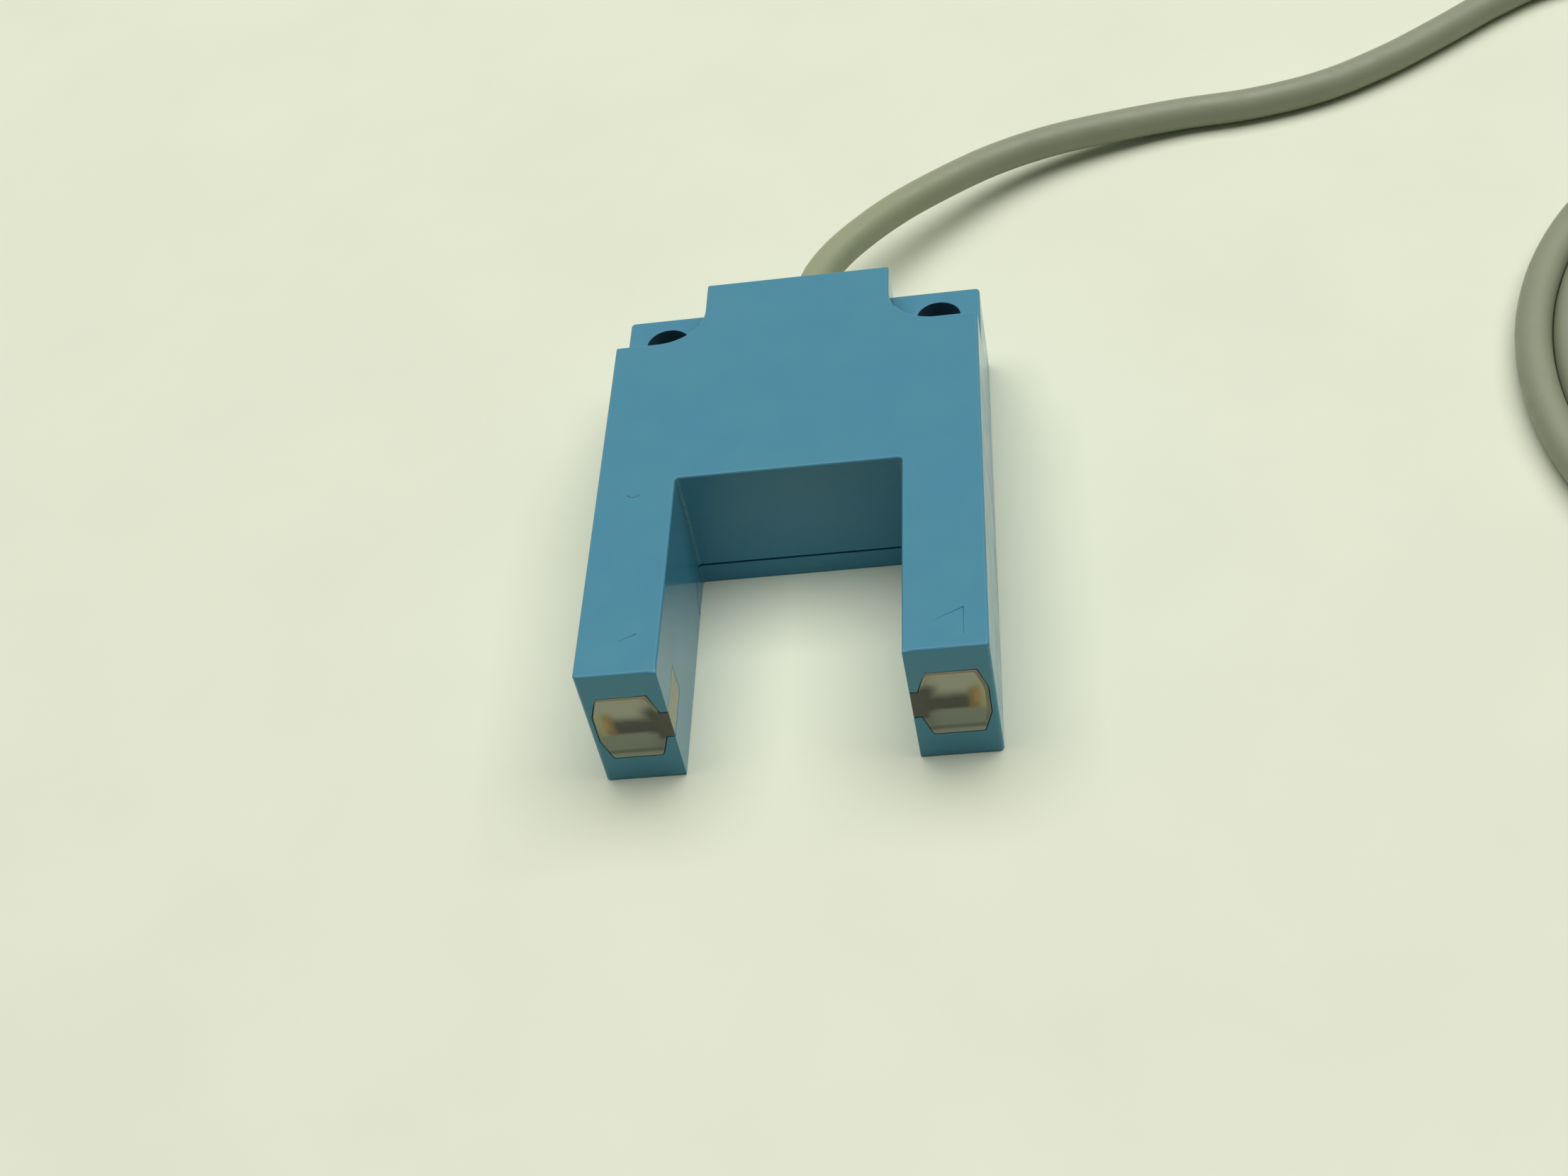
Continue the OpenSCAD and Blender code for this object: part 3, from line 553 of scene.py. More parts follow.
def window_resin(settings):
    """Smoky resin with a pale panel behind it, painted shading on the panel with a dark band of painted
    shade, an amber part and a brown rim.

    Across is measured from the window's middle towards the outer side and up from the beam, in
    millimetres. The outline is the largest of three distances: to the sides, to the top and
    bottom, and to the slants. The panel's border is the same outline further in, with its
    corners rounded and one corner cut.
    """
    finish = Finish("window_resin", Specular_IOR_Level=0.5)
    calc, times, ramp, blend = finish.calc, finish.times, finish.ramp, finish.blend
    x, y, z = finish.axes()
    inner, outer = (settings.slot_half + settings.lip) / MM, settings.outer_side / MM
    middle, half_wide = (outer + inner) / 2, (outer - inner) / 2
    beam = (WINDOW_LOW.z + WINDOW_HIGH.z) / 2 / MM
    half_high = (WINDOW_HIGH.z - WINDOW_LOW.z) / 2 / MM
    # Half the height of a straight side, the way a slant faces, and the way and reach of the cut
    half_side, slant_out, slant_up = 2.35, 0.951, 0.308
    cut_across, cut_up, cut_reach = -0.735, 0.678, 6.1
    across, up = calc("SUBTRACT", calc("ABSOLUTE", x), middle), calc("SUBTRACT", z, beam)
    panel_across, off_beam = calc("ADD", across, times(calc("SIGN", x), 0.16)), calc("ABSOLUTE", up)
    wobble = ramp(finish.noise(2.6, 1), 0.2, 0.8, -0.2, 0.2)

    def beyond(aside, out, rise, reach):
        """Distance beyond a straight line, from its normal and its reach from the middle."""
        return calc("SUBTRACT", calc("ADD", times(calc("ABSOLUTE", aside), out), times(off_beam, rise)),
                    reach)

    def octagon(aside, radius):
        """Distance beyond the window's outline, with corners of about that radius."""
        slants = beyond(aside, slant_out, slant_up, slant_out * half_wide + slant_up * half_side)
        sides, ends = beyond(aside, 1, 0, half_wide), beyond(aside, 0, 1, half_high)
        return calc("SMOOTH_MAX", calc("SMOOTH_MAX", sides, ends, radius), slants, radius)

    outline = octagon(across, 0.05)
    cut = calc("ADD", times(up, cut_up), times(panel_across, cut_across))
    cut = calc("SUBTRACT", cut, cut_reach)
    border = calc("ADD", calc("SMOOTH_MAX", octagon(panel_across, 0.5), cut, 0.6), 0.42)
    inside = ramp(border, 0.06, -0.04)
    slot_side = times(ramp(across, -2.6, -3.6), ramp(off_beam, 2.9, 2.3))

    # The panel with painted shading: darker below and towards the slot, with a dim strip of painted
    # shade near its lower edge and painted light along its lowest edge
    shade, bright = display(settings.shade), display(settings.bright)
    panel = blend(ramp(up, 2.2, -1.8), display(settings.panel), display(settings.panel_shaded))
    panel = blend(ramp(across, -1.5, -4.2, 0.0, 0.35), panel, shade)
    strip = times(ramp(up, -3.9, -4.35), ramp(up, -5.0, -4.6), 0.45)
    panel = blend(strip, panel, shade)
    panel = blend(ramp(up, -4.75, -5.1, 0.0, 0.4), panel, display(settings.panel))

    # The dark band of painted shade, the shadowed bore seen through the resin, which widens towards the
    # slot
    top = calc("ADD", up, times(wobble, 1.2))
    band = times(ramp(top, 2.9, 0.6), ramp(up, -1.5, -0.7), ramp(across, 2.9, 1.5))
    shade_near_slot = times(ramp(across, -0.9, -3.4), ramp(top, 4.4, 2.3), ramp(up, -1.9, -0.9))
    dark = calc("MAXIMUM", band, shade_near_slot)
    panel = blend(times(dark, 0.95), panel, shade)

    # The amber part with its yellow fringe and its brightest spot
    high = times(ramp(calc("ADD", up, wobble), 3.9, 2.1), ramp(up, -1.7, -0.9))
    fringe = times(ramp(across, 2.0, 2.9), ramp(across, 4.3, 3.6), high, 0.7)
    panel = blend(fringe, panel, display(settings.glow_edge))
    slant = calc("ADD", across, ramp(up, 3.0, -1.0, -0.06, 0.05))
    core = times(ramp(calc("ADD", slant, wobble), 1.2, 2.4), ramp(slant, 3.5, 2.6), high,
                 ramp(up, 3.6, 1.6, 0.3, 0.8))
    panel = blend(core, panel, display(settings.glow))
    hot = times(ramp(finish.apart(slant, 2.75), 0.55, 0.1), ramp(up, -0.4, 0.3), ramp(up, 2.4, 1.2),
                0.6)
    panel = blend(hot, panel, display(settings.hot))

    # The rim, the bright lines along the panel and the outline (painted highlights), the neck with
    # painted shade, and the lens
    rim = blend(ramp(up, 4.9, 3.4), display(settings.rim), display(settings.rim_side))
    rim = blend(ramp(up, -3.6, -4.2), rim, panel)
    colour = blend(inside, rim, panel)
    line = times(ramp(calc("ABSOLUTE", border), 0.13, 0.02), ramp(up, -3.8, 4.5, 0.0, 0.8),
                 ramp(calc("MAXIMUM", dark, slot_side), 0.8, 0.1))
    colour = blend(line, colour, bright)
    lip = times(ramp(outline, -0.2, -0.08), ramp(slot_side, 0.5, 0.0, 0.0, 0.6))
    colour = blend(lip, colour, bright)
    # The neck: resin with painted shade of the bore behind it
    colour = blend(times(slot_side, ramp(across, -2.9, -3.8)), colour, display(settings.neck))
    lens = ramp(y, WINDOW_LOW.y / MM + 0.1, WINDOW_LOW.y / MM + 0.3)
    colour = blend(lens, colour, display(settings.lens))
    colour = blend(times(finish.specks(1.7, 0.06, 0.1), 0.7), colour, bytes_colour(64, 60, 50))
    grain = finish.relief(finish.noise(0.16), 0.003)
    flow = finish.relief(finish.noise(2.5, 1), 0.02, grain)
    return finish.wear(colour, finish.dulled(0.9, 3, 0.36, 0.5), finish.relief(inside, 0.05, flow))


def cable_jacket(settings):
    """Grey jacket, yellowed near the sensor, with fine drawn lines, scuffs and handling marks."""
    finish = Finish("cable_jacket", Specular_IOR_Level=0.5)
    times, ramp, blend, noise = finish.times, finish.ramp, finish.blend, finish.noise
    x, y = finish.axes()[:2]
    patches = times(ramp(noise(14, 3, 0.6), 0.35, 0.7), 0.35)
    colour = blend(patches, display(settings.jacket), bytes_colour(128, 135, 114))
    aged = times(ramp(x, 34.0, 2.0), ramp(y, 30.0, 44.0), 0.85)
    colour = blend(aged, colour, display(settings.jacket_aged))
    scuff = ramp(noise(1.4, 5, 0.7), 0.6, 0.72, 0.0, 0.3)
    colour = blend(scuff, colour, bytes_colour(112, 114, 102))
    drawn = finish.relief(noise(7, 1), 0.06)
    fine = finish.relief(noise(0.3, 3), 0.006, drawn)
    return finish.wear(colour, finish.dulled(3, 3, 0.38, 0.52), fine)


def lead_sleeve(name, colour):
    """Thin drawn insulation of one colour."""
    finish = Finish("sleeve_" + name)
    tone = finish.ramp(finish.noise(2, 3), 0.3, 0.7, 0.0, 0.25)
    mixed = finish.blend(tone, colour, finish.blend(0.2, colour, bytes_colour(160, 160, 160)))
    fine = finish.relief(finish.noise(0.3), 0.005)
    return finish.wear(mixed, finish.dulled(0.8, 2, 0.3, 0.42), fine)


def tinned_strands():
    """Tinned strands: bright metal with the grey of old flux between them."""
    finish = Finish("tinned_strands", Metallic=1.0)
    dull = finish.ramp(finish.noise(0.4, 3), 0.4, 0.7)
    colour = finish.blend(dull, bytes_colour(206, 204, 198), bytes_colour(150, 146, 136))
    fine = finish.relief(finish.noise(0.12), 0.004)
    return finish.wear(colour, finish.dulled(0.2, 2, 0.2, 0.42), fine)


def moulded(name, colour, rough, drift, **fixed):
    """Plain moulded plastic or rubber: slight drift of tone, dust and a fine grain."""
    finish = Finish(name, **fixed)
    lighter = tuple(min(1.0, c + drift) for c in colour)
    tone = finish.ramp(finish.noise(4, 3), 0.3, 0.7)
    mixed = finish.blend(tone, display(colour), display(lighter))
    dust = finish.times(finish.specks(1.6, 0.08, 0.12), 0.5)
    mixed = finish.blend(dust, mixed, bytes_colour(150, 146, 130))
    return finish.wear(mixed, finish.dulled(1.5, 3, *rough), finish.relief(finish.noise(0.25), 0.006))


def metal(name, colour, along=(1.0, 1.0, 8.0)):
    """Machined metal: fine lines stretched one way, and duller patches."""
    finish = Finish(name, Metallic=1.0)
    lines = finish.noise(0.25, 3, 0.6, finish.stretched(*along))
    dull = finish.ramp(finish.noise(1.2, 3), 0.4, 0.75)
    darker = tuple(0.7 * c for c in colour)
    mixed = finish.blend(dull, display(colour), display(darker))
    return finish.wear(mixed, finish.ramp(lines, 0.3, 0.7, 0.25, 0.45), finish.relief(lines, 0.004))


def board_laminate():
    """Green laminate with its glass weave, and copper tracks under the resist."""
    finish = Finish("board_laminate", Coat_Weight=0.3)
    weave = finish.add("ShaderNodeTexChecker", {"Vector": finish.place, "Scale": 1 / (0.4 * MM)})
    cells = finish.add("ShaderNodeTexVoronoi", {"Vector": finish.place, "Scale": 1 / (3.2 * MM)},
                       distance="MANHATTAN", feature="DISTANCE_TO_EDGE")
    track = finish.ramp(cells.outputs["Distance"], 0.09, 0.06)
    colour = finish.blend(finish.noise(3), bytes_colour(14, 78, 40), bytes_colour(22, 92, 50))
    colour = finish.blend(track, colour, bytes_colour(58, 128, 70))
    relief = finish.relief(weave.outputs["Fac"], 0.004, finish.relief(track, 0.03))
    return finish.wear(colour, finish.dulled(0.8, 2, 0.3, 0.45), relief)


def can_sleeve():
    """Blue shrink sleeve with one pale stripe down its side, and a bare aluminium top."""
    finish = Finish("can_sleeve")
    x, y, z = finish.axes()
    low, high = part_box("filter_capacitor")
    from_middle = finish.apart(x, (low.x + high.x) / 2 / MM)
    stripe = finish.times(finish.ramp(from_middle, 0.75, 0.65),
                          finish.ramp(y, (low.y + high.y) / 2 / MM, low.y / MM))
    colour = finish.blend(finish.noise(1.2), bytes_colour(26, 38, 96), bytes_colour(34, 48, 112))
    colour = finish.blend(stripe, colour, bytes_colour(170, 176, 190))
    top = finish.ramp(z, high.z / MM - 0.3, high.z / MM - 0.2)
    colour = finish.blend(top, colour, bytes_colour(190, 190, 194))
    relief = finish.relief(finish.noise(0.6), 0.01)
    return finish.wear(colour, finish.dulled(0.5, 2, 0.25, 0.4), relief, top)


def dress(piece, *materials):
    """Gives the piece these materials in place of its own."""
    piece.data.materials.clear()
    for material in materials:
        piece.data.materials.append(material)


# The cable

ROUTE = [(0, 23.5, 10), (0, 33, 10), (0, 42, 10), (1, 48.5, 9.8), (3.5, 54, 9.5), (7.5, 60, 8.9),
         (13, 66.5, 8.1), (20, 73, 7.1), (28, 79.5, 5.8), (37, 84.5, 4.6), (47, 88, 3.5),
         (58, 90.5, 2.7), (70, 91.5, 2.5), (81, 94, 2.5), (91.5, 99, 2.5), (101.5, 105.5, 2.5),
         (111.5, 112.5, 2.5), (120, 117, 2.5), (129, 118.5, 2.5), (138, 116.5, 2.5),
         (147, 111.5, 2.5), (157, 104.5, 2.5), (168, 96.5, 2.5), (180, 87.5, 2.5),
         (193, 77.5, 2.5), (204.8, 68, 2.5)]
TAIL = [(200.6, 31, 2.5), (202, 17, 2.5), (197.2, 4.2, 2.5), (187, -5.4, 2.5), (174, -10, 2.5),
        (161, -9.5, 2.5)]
LEADS = [[(161.5, -9.5, 3.6), (152, -8, 1.4), (142, -9, 0.6), (132, -12.5, 0.6)],
         [(161.5, -8.5, 1.9), (152, -5, 0.6), (142, -2, 0.6), (131, -1, 0.6)],
         [(161.5, -10.5, 1.9), (153, -12.5, 0.6), (147, -15, 0.6), (142, -18, 0.6)]]
LEAD_COLOURS = {"brown": (92, 56, 34), "blue": (34, 74, 150), "black": (22, 22, 22)}

# The coil in degrees: where the cable meets it, the arc over which it changes turns, the arc of
# the last turn on top, and the arcs over which that rolls down and goes on to the coil's end
START_ANGLE = 50
SHIFT_ARC = 40
TOP_ARC = 240
ROLL_ARC = 60
END_ARC = 150

# How steeply the last turn lies on the inner ones, and how far around the coil the tie lifts it
TOP_RISE = math.radians(60)
TIE_REACH = math.radians(32)

# The conductors at the cable's end. Twists are turns of angle per metre.
SLEEVE_RADIUS = 0.6 * MM
BARE_LENGTH = 5.2 * MM
STRANDS = 7
STRAND_REACH = 0.36 * MM
STRAND_TWIST = 1.3 / MM

# The tie: its band's steps round the bundle and its room around the cable, the band's section as
# shares of half its width and of its thickness, and the twisted ends, which start at one of the
# steps and whose line goes inwards, up and along the cable, in millimetres
TIE_STEPS = 120
TWIST_STEP = 40
TIE_ROOM = 0.33 * MM
TIE_HALF_SIZE = (1.9 * MM, 0.16 * MM)
TIE_SECTION = ((-1, 0), (-0.95, 1), (-0.3, 1), (-0.14, 1.4), (0, 1.6), (0.14, 1.4), (0.3, 1),
               (0.95, 1), (1, 0), (0.95, -1), (0, -1), (-0.95, -1))
TWIST_LINE = ((0, 0, 0), (-4, 2.4, 0), (-9, 2.6, 1), (-13, 1.5, 2))
TWIST_HALF_SIZE = (0.95 * MM, 0.34 * MM)
TWIST_OFFSET = 0.33 * MM
TIE_TWIST = 0.95 / MM


def coil_line(cable):
    """The middle line of the coil, from where the cable meets it to where it leaves it.

    Angle counts clockwise from the meeting place. Each flat turn starts one pitch further in
    than the last, over a short arc. The cable then rolls up over its neighbour into the groove
    of the two inner turns, keeping one pitch from what is under it, and rolls down inside.
    """
    pitch, laps = cable.pitch, cable.flat_turns
    up = 360 * laps
    climb, roll = up - SHIFT_ARC, up + TOP_ARC
    angle = np.arange(0, roll + END_ARC, 6.0)

    def flat_radius(at):
        steps = [ease((at - 360 * lap) / SHIFT_ARC) for lap in range(laps)]
        return cable.outer_turn + pitch - pitch * sum(steps)

    inner = cable.outer_turn - pitch * (laps - 1)
    rising = TOP_RISE * ease((angle - climb) / SHIFT_ARC)
    falling = TOP_RISE + (math.pi - TOP_RISE) * ease((angle - roll) / ROLL_ARC)
    on_top = inner + pitch * math.cos(TOP_RISE)
    under = flat_radius(angle - 360)
    groove = np.sqrt(pitch**2 - np.clip(on_top - under, -pitch, pitch) ** 2)
    stage = [angle < climb, angle < up, angle < roll]
    reach = np.select(stage, [flat_radius(angle), inner + pitch - pitch * np.cos(rising),
                              np.full_like(angle, on_top)], inner + pitch * np.cos(falling))
    height = np.select(stage, [0 * angle, pitch * np.sin(rising), groove], pitch * np.sin(falling))
    turned = np.radians(START_ANGLE - angle)
    from_tie = np.abs((turned - cable.tie_angle + math.pi) % (2 * math.pi) - math.pi)
    height = height + cable.tie_lift * ease(1 - from_tie / TIE_REACH) * (angle < roll)
    return np.stack([cable.coil_x + reach * np.cos(turned), cable.coil_y + reach * np.sin(turned),
                     cable.diameter / 2 + height], axis=1)


def blunt_end(whole, radius, edge, step):
    """Runs and sizes of a tube's rings: even steps, then a quarter of a circle as its rounded edge."""
    even = np.arange(0, whole - 1.2 * edge, step)
    angle = np.linspace(0, math.pi / 2, 5)[1:]
    rounded = (radius - edge + edge * np.cos(angle)) / radius
    return (np.concatenate([even, whole - edge + edge * np.sin(angle)]),
            np.concatenate([np.ones(len(even)), rounded]))


class VANE_OT_cable(bpy.types.Operator):
    """Lays the cable from the neck to its coil, with its stripped end and its tie"""
    bl_idname = "vane.cable"
    bl_label = "Cable"

    def execute(self, context):
        cable = context.scene.vane_cable
        chosen = np.vstack([np.array(ROUTE[:-1]) * MM, coil_line(cable), np.array(TAIL[1:]) * MM])
        line = smooth_line(chosen, 0.5 * MM)
        whole = run_of(line)[-1]
        piece = self.jacket(cable, line, whole)
        leads, tie = self.leads(), self.tie(cable)
        stand_in(piece, "cable_jacket", "cable", "cable_coil", "cable_tail")
        path = at_run(line, np.linspace(0, whole, int(whole / (2 * MM))))
        return {"FINISHED"}

    def jacket(self, cable, line, whole):
        """A round tube along the line. Its two last rings step back into the hollow cut end."""
        radius = cable.diameter / 2
        run, size = blunt_end(whole, radius, edge=0.25 * MM, step=2 * MM)
        run = np.append(run, [whole - 0.02 * MM, whole - 0.6 * MM])
        rings = swept(line, run, circle(radius, 28), np.append(size, [0.76, 0.74]))
        piece = new_piece("cable_run", *tube_arrays(rings))
        dress(piece, cable_jacket(cable))
        return piece

    def leads(self):
        """Three sleeved conductors, each with a bare end of twisted tinned strands that splay."""
        angle = np.arange(42) * 2 * math.pi / 42
        strands = (0.9 + 0.1 * np.abs(np.cos(STRANDS / 2 * angle)))[:, None] * circle(STRAND_REACH, 42)
        sleeves, tips = [], []
        for points in LEADS:
            line = smooth_line(np.array(points) * MM, 0.25 * MM)
            line[:, 2] = np.maximum(line[:, 2], SLEEVE_RADIUS)
            whole = run_of(line)[-1]
            bare = whole - BARE_LENGTH
            run, size = blunt_end(bare, SLEEVE_RADIUS, edge=0.12 * MM, step=0.8 * MM)
            sleeves.append(tube_arrays(swept(line, run, circle(SLEEVE_RADIUS, 16), size)))
            run = np.arange(bare - 0.3 * MM, whole, 0.2 * MM)
            splay = 1 + 0.25 * ease((run - whole + 1.5 * MM) / (1.5 * MM))
            turn = (run - bare) * STRAND_TWIST
            tips.append(tube_arrays(swept(line, run, strands, splay, turn)))
        materials = [lead_sleeve(name, bytes_colour(*colour)) for name, colour in LEAD_COLOURS.items()]
        materials += [tinned_strands()] * len(LEADS)
        piece = joined("cable_leads_stripped", sleeves + tips, materials)
        return stand_in(piece, "lead_sleeves", "cable_leads")

    def tie(self, cable):
        """A wire tie: a flat band with a rib around the bundle, and its two ends twisted together.

        The band follows the hull of three circles: the innermost and the outermost flat turn and
        the turn on top.
        """
        radius, pitch = cable.diameter / 2, cable.pitch
        inner = cable.outer_turn - pitch * (cable.flat_turns - 1)
        base = radius + cable.tie_lift
        turns = np.array([[inner, base], [cable.outer_turn, base],
                          [inner + pitch / 2, base + pitch * math.sin(TOP_RISE)]])
        out = circle(1, TIE_STEPS)
        hull = turns[np.argmax(turns @ out.T, axis=0)] + (radius + TIE_ROOM) * out
        radial = np.array([math.cos(cable.tie_angle), math.sin(cable.tie_angle), 0])
        tangent = np.cross(UP, radial)
        upright = np.stack([radial, UP])
        band = np.array([cable.coil_x, cable.coil_y, 0]) + hull @ upright
        across, above = (np.array(TIE_SECTION) * TIE_HALF_SIZE).T
        points = band[:, None] + above[:, None] * (out @ upright)[:, None] + across[:, None] * tangent
        quads = grid_quads(len(band), len(across), closed_rows=True)
        parts = [(points.reshape(-1, 3), quads, NO_TRIANGLES)]

        ends = band[TWIST_STEP] + np.array(TWIST_LINE) * MM @ np.stack([radial, UP, tangent])
        axis = smooth_line(ends, 0.25 * MM)
        run = run_of(axis)
        for side in (1, -1):
            strip = circle(1, 14) * TWIST_HALF_SIZE + [0, side * TWIST_OFFSET]
            parts.append(tube_arrays(swept(axis, run, strip, turn=run * TIE_TWIST)))
        black = moulded("tie_plastic", (0.07, 0.07, 0.07), (0.3, 0.42), 0.03)
        return stand_in(joined("coil_wire_tie", parts, [black]), "tie_plastic", "coil_tie")


# Camera

class VANE_OT_camera(bpy.types.Operator):
    """Places the camera at the viewing angle of the reference picture"""
    bl_idname = "vane.camera"
    bl_label = "Camera"

    def execute(self, context):
        stage = context.scene.vane_stage
        lens = bpy.data.cameras.new("camera")
        lens.lens = stage.lens
        lens.sensor_width = 36.0
        lens.sensor_fit = "HORIZONTAL"
        lens.clip_start = 0.01
        camera = bpy.data.objects.new("camera", lens)
        camera.location = stage.camera_place
        camera.rotation_euler = stage.camera_turn
        context.scene.collection.objects.link(camera)
        context.scene.camera = camera
        return {"FINISHED"}


# Casting and cover

def skin_cuts(settings):
    """Planes that part the casting's faces: beside its outline, and through its holes."""
    aside = 1.1 * MM
    slot, slot_end = settings.slot_half, -settings.slot_end
    across = [slot - aside, slot + aside, settings.hole_x, HOUSING_HIGH.x - aside]
    behind = [HOUSING_LOW.y + aside, slot_end - aside, slot_end + aside,
              settings.shoulder + aside, settings.hole_y, HOUSING_HIGH.y - aside]
    return [(0, 0.0), (2, CABLE_HEIGHT), *[(0, side * x) for x in across for side in (-1, 1)],
            *[(1, y) for y in behind]]


def skin_weights(piece, settings):
    """Rounding weight of each edge, from where its middle lies and which way its faces look.

    Top edges are rounded most, then the cover's, then the rims of pockets and holes. The corners
    of the windows' pockets are filled a little. Everything inside the casting stays sharp.
    """
    middle, along, one, other, bend, convex = edge_facts(piece.data)
    x, y, z = np.abs(middle[:, 0]), middle[:, 1], middle[:, 2]
    half, tip, back, top = HOUSING_HIGH.x, HOUSING_LOW.y, HOUSING_HIGH.y, HOUSING_HIGH.z
    slot, slot_end, ear = settings.slot_half, -settings.slot_end, settings.ear_top
    near, corner, neck_bore = 0.03 * MM, 0.65 * MM, 5 * MM
    opening_low, opening_high, opening_back = 6 * MM, 14 * MM, tip + 9 * MM
    flat = np.maximum(np.abs(one[:, 2]), np.abs(other[:, 2])) > 0.95
    in_slot = (x < slot + corner) & (y < slot_end + corner)
    outer = (x > half - corner) | (y < tip + corner) | (y > back - corner) | in_slot
    to_hole = np.hypot(x - settings.hole_x, y - settings.hole_y)
    hole_rim = np.abs(to_hole - settings.hole_radius) < 2 * near
    bore = (y > back - near) & (np.hypot(x, z - CABLE_HEIGHT) < neck_bore)
    on_leg = (x > slot + corner) & (x < half - corner) & (y > tip + corner) & (y < slot_end)
    mark = on_leg & (z > top - MM)
    front = (y < tip + near) & ~flat & (x > slot + near) & (x < half - near)
    opening = (x < slot + near) & (z > opening_low) & (z < opening_high) & (y < opening_back)
    upright = ~flat & (z > ear) & (y > settings.shoulder - MM)
    rim = flat & outer
    rules = [(bore, 0.0), (mark, 0.0), (hole_rim, 0.4), (front | opening, 0.3),
             (flat & (z > top - near), 1.0), (upright, 0.6), (rim & (np.abs(z - ear) < near), 1.0),
             (rim & (z < near), 0.7), (rim & (z < ear - near), 0.35)]
    weights = np.select([edges for edges, _ in rules], [weight for _, weight in rules], 0.0)
    weights = np.where((bend > FORM_BEND) & convex, weights, 0.0)
    pocket = (np.abs(along[:, 1]) > 0.99) & (y < WINDOW_HIGH.y) & (x > slot + MM) & (z > MM) & ~convex
    filled = np.where(z < WINDOW_LOW.z + MM, 1.0, 0.4)
    return np.where(pocket & (bend > FORM_BEND), filled, weights), bend


def narrow_marks(mesh, settings):
    """Draws the engraved marks in to thin grooves that run out at their ends.

    A point of a mark goes towards the mark's middle line, by more on its floor than at its rim.
    The floor rises along the line, because the paint has half filled the marks.
    """
    points = read(mesh.vertices, "co", 3)
    top, depth = HOUSING_HIGH.z, settings.mark_depth
    feet, shares = [], []
    for start, end in MARK_LINES:
        start, along = np.array(start) * MM, (np.array(end) - start) * MM
        share = np.clip((points[:, :2] - start) @ along / (along @ along), 0, 1)
        feet.append(start + share[:, None] * along)
        shares.append(share)
    feet, shares = np.array(feet), np.array(shares)
    gaps = np.linalg.norm(points[:, :2] - feet, axis=2)
    nearest, count = np.argmin(gaps, axis=0), np.arange(len(points))
    foot, share = feet[nearest, count], shares[nearest, count]
    engraved = (gaps.min(axis=0) < 2 * depth) & (points[:, 2] > top - 2 * depth)
    floor = engraved & (points[:, 2] < top - 0.5 * depth)
    kept_width = np.where(floor, 0.15, 0.5)[:, None]
    drawn = foot + kept_width * (points[:, :2] - foot)
    points[:, :2] = np.where(engraved[:, None], drawn, points[:, :2])
    points[:, 2] = np.where(floor, top - depth * (0.8 - 0.65 * share), points[:, 2])
    mesh.vertices.foreach_set("co", points.ravel())
    mesh.update()


class VANE_OT_casting(bpy.types.Operator):
    """Makes the painted casting and its cover, with rounded edges"""
    bl_idname = "vane.casting"
    bl_label = "Casting"

    def execute(self, context):
        settings = context.scene.vane_casting
        paint = casting_paint(settings, "casting_paint")
        edge = casting_paint(settings, "casting_edge_paint", 0.06)
        for name, node in (("fork_casting", "housing"), ("cover_plate", "bottom_cover")):
            piece = whole_faced(name, node, skin_cuts(settings))
            narrow_marks(piece.data, settings)
            bevel = round_edges(piece, *skin_weights(piece, settings), settings.edge_round)
            dress(piece, paint, edge)
            bevel.material = 1
            stand_in(piece, "body_paint", node)
        return {"FINISHED"}


class VANE_OT_windows(bpy.types.Operator):
    """Makes the two window mouldings with their slightly rounded edges"""
    bl_idname = "vane.windows"
    bl_label = "Windows"

    def execute(self, context):
        settings = context.scene.vane_windows
        resin = window_resin(settings)
        for name, node in (("left_window", "emitter_window"), ("right_window", "receiver_window")):
            piece = whole_faced(name, node)
            dress(piece, resin)
            round_edges(piece, *self.weights(piece, settings), settings.corner_round)
            stand_in(piece, "window_resin", node)
        return {"FINISHED"}

    def weights(self, piece, settings):
        """Whole weight on the lower corners, less on the upper ones and least around the faces."""
        middle, along, _, _, bend, convex = edge_facts(piece.data)
        x, y, z = np.abs(middle[:, 0]), middle[:, 1], middle[:, 2]
        near = 0.03 * MM
        least = settings.edge_round / settings.corner_round
        corner = (np.abs(along[:, 1]) > 0.99) & (x > settings.slot_half + settings.lip)
        shown = (y < WINDOW_LOW.y + near) | (x < settings.slot_half + near)
        low, high = z < WINDOW_LOW.z + near, z > WINDOW_HIGH.z - near
        weights = np.select([corner & low, corner & high, shown], [1.0, 0.4, least], 0.0)
        return np.where((bend > FORM_BEND) & convex, weights, 0.0), bend


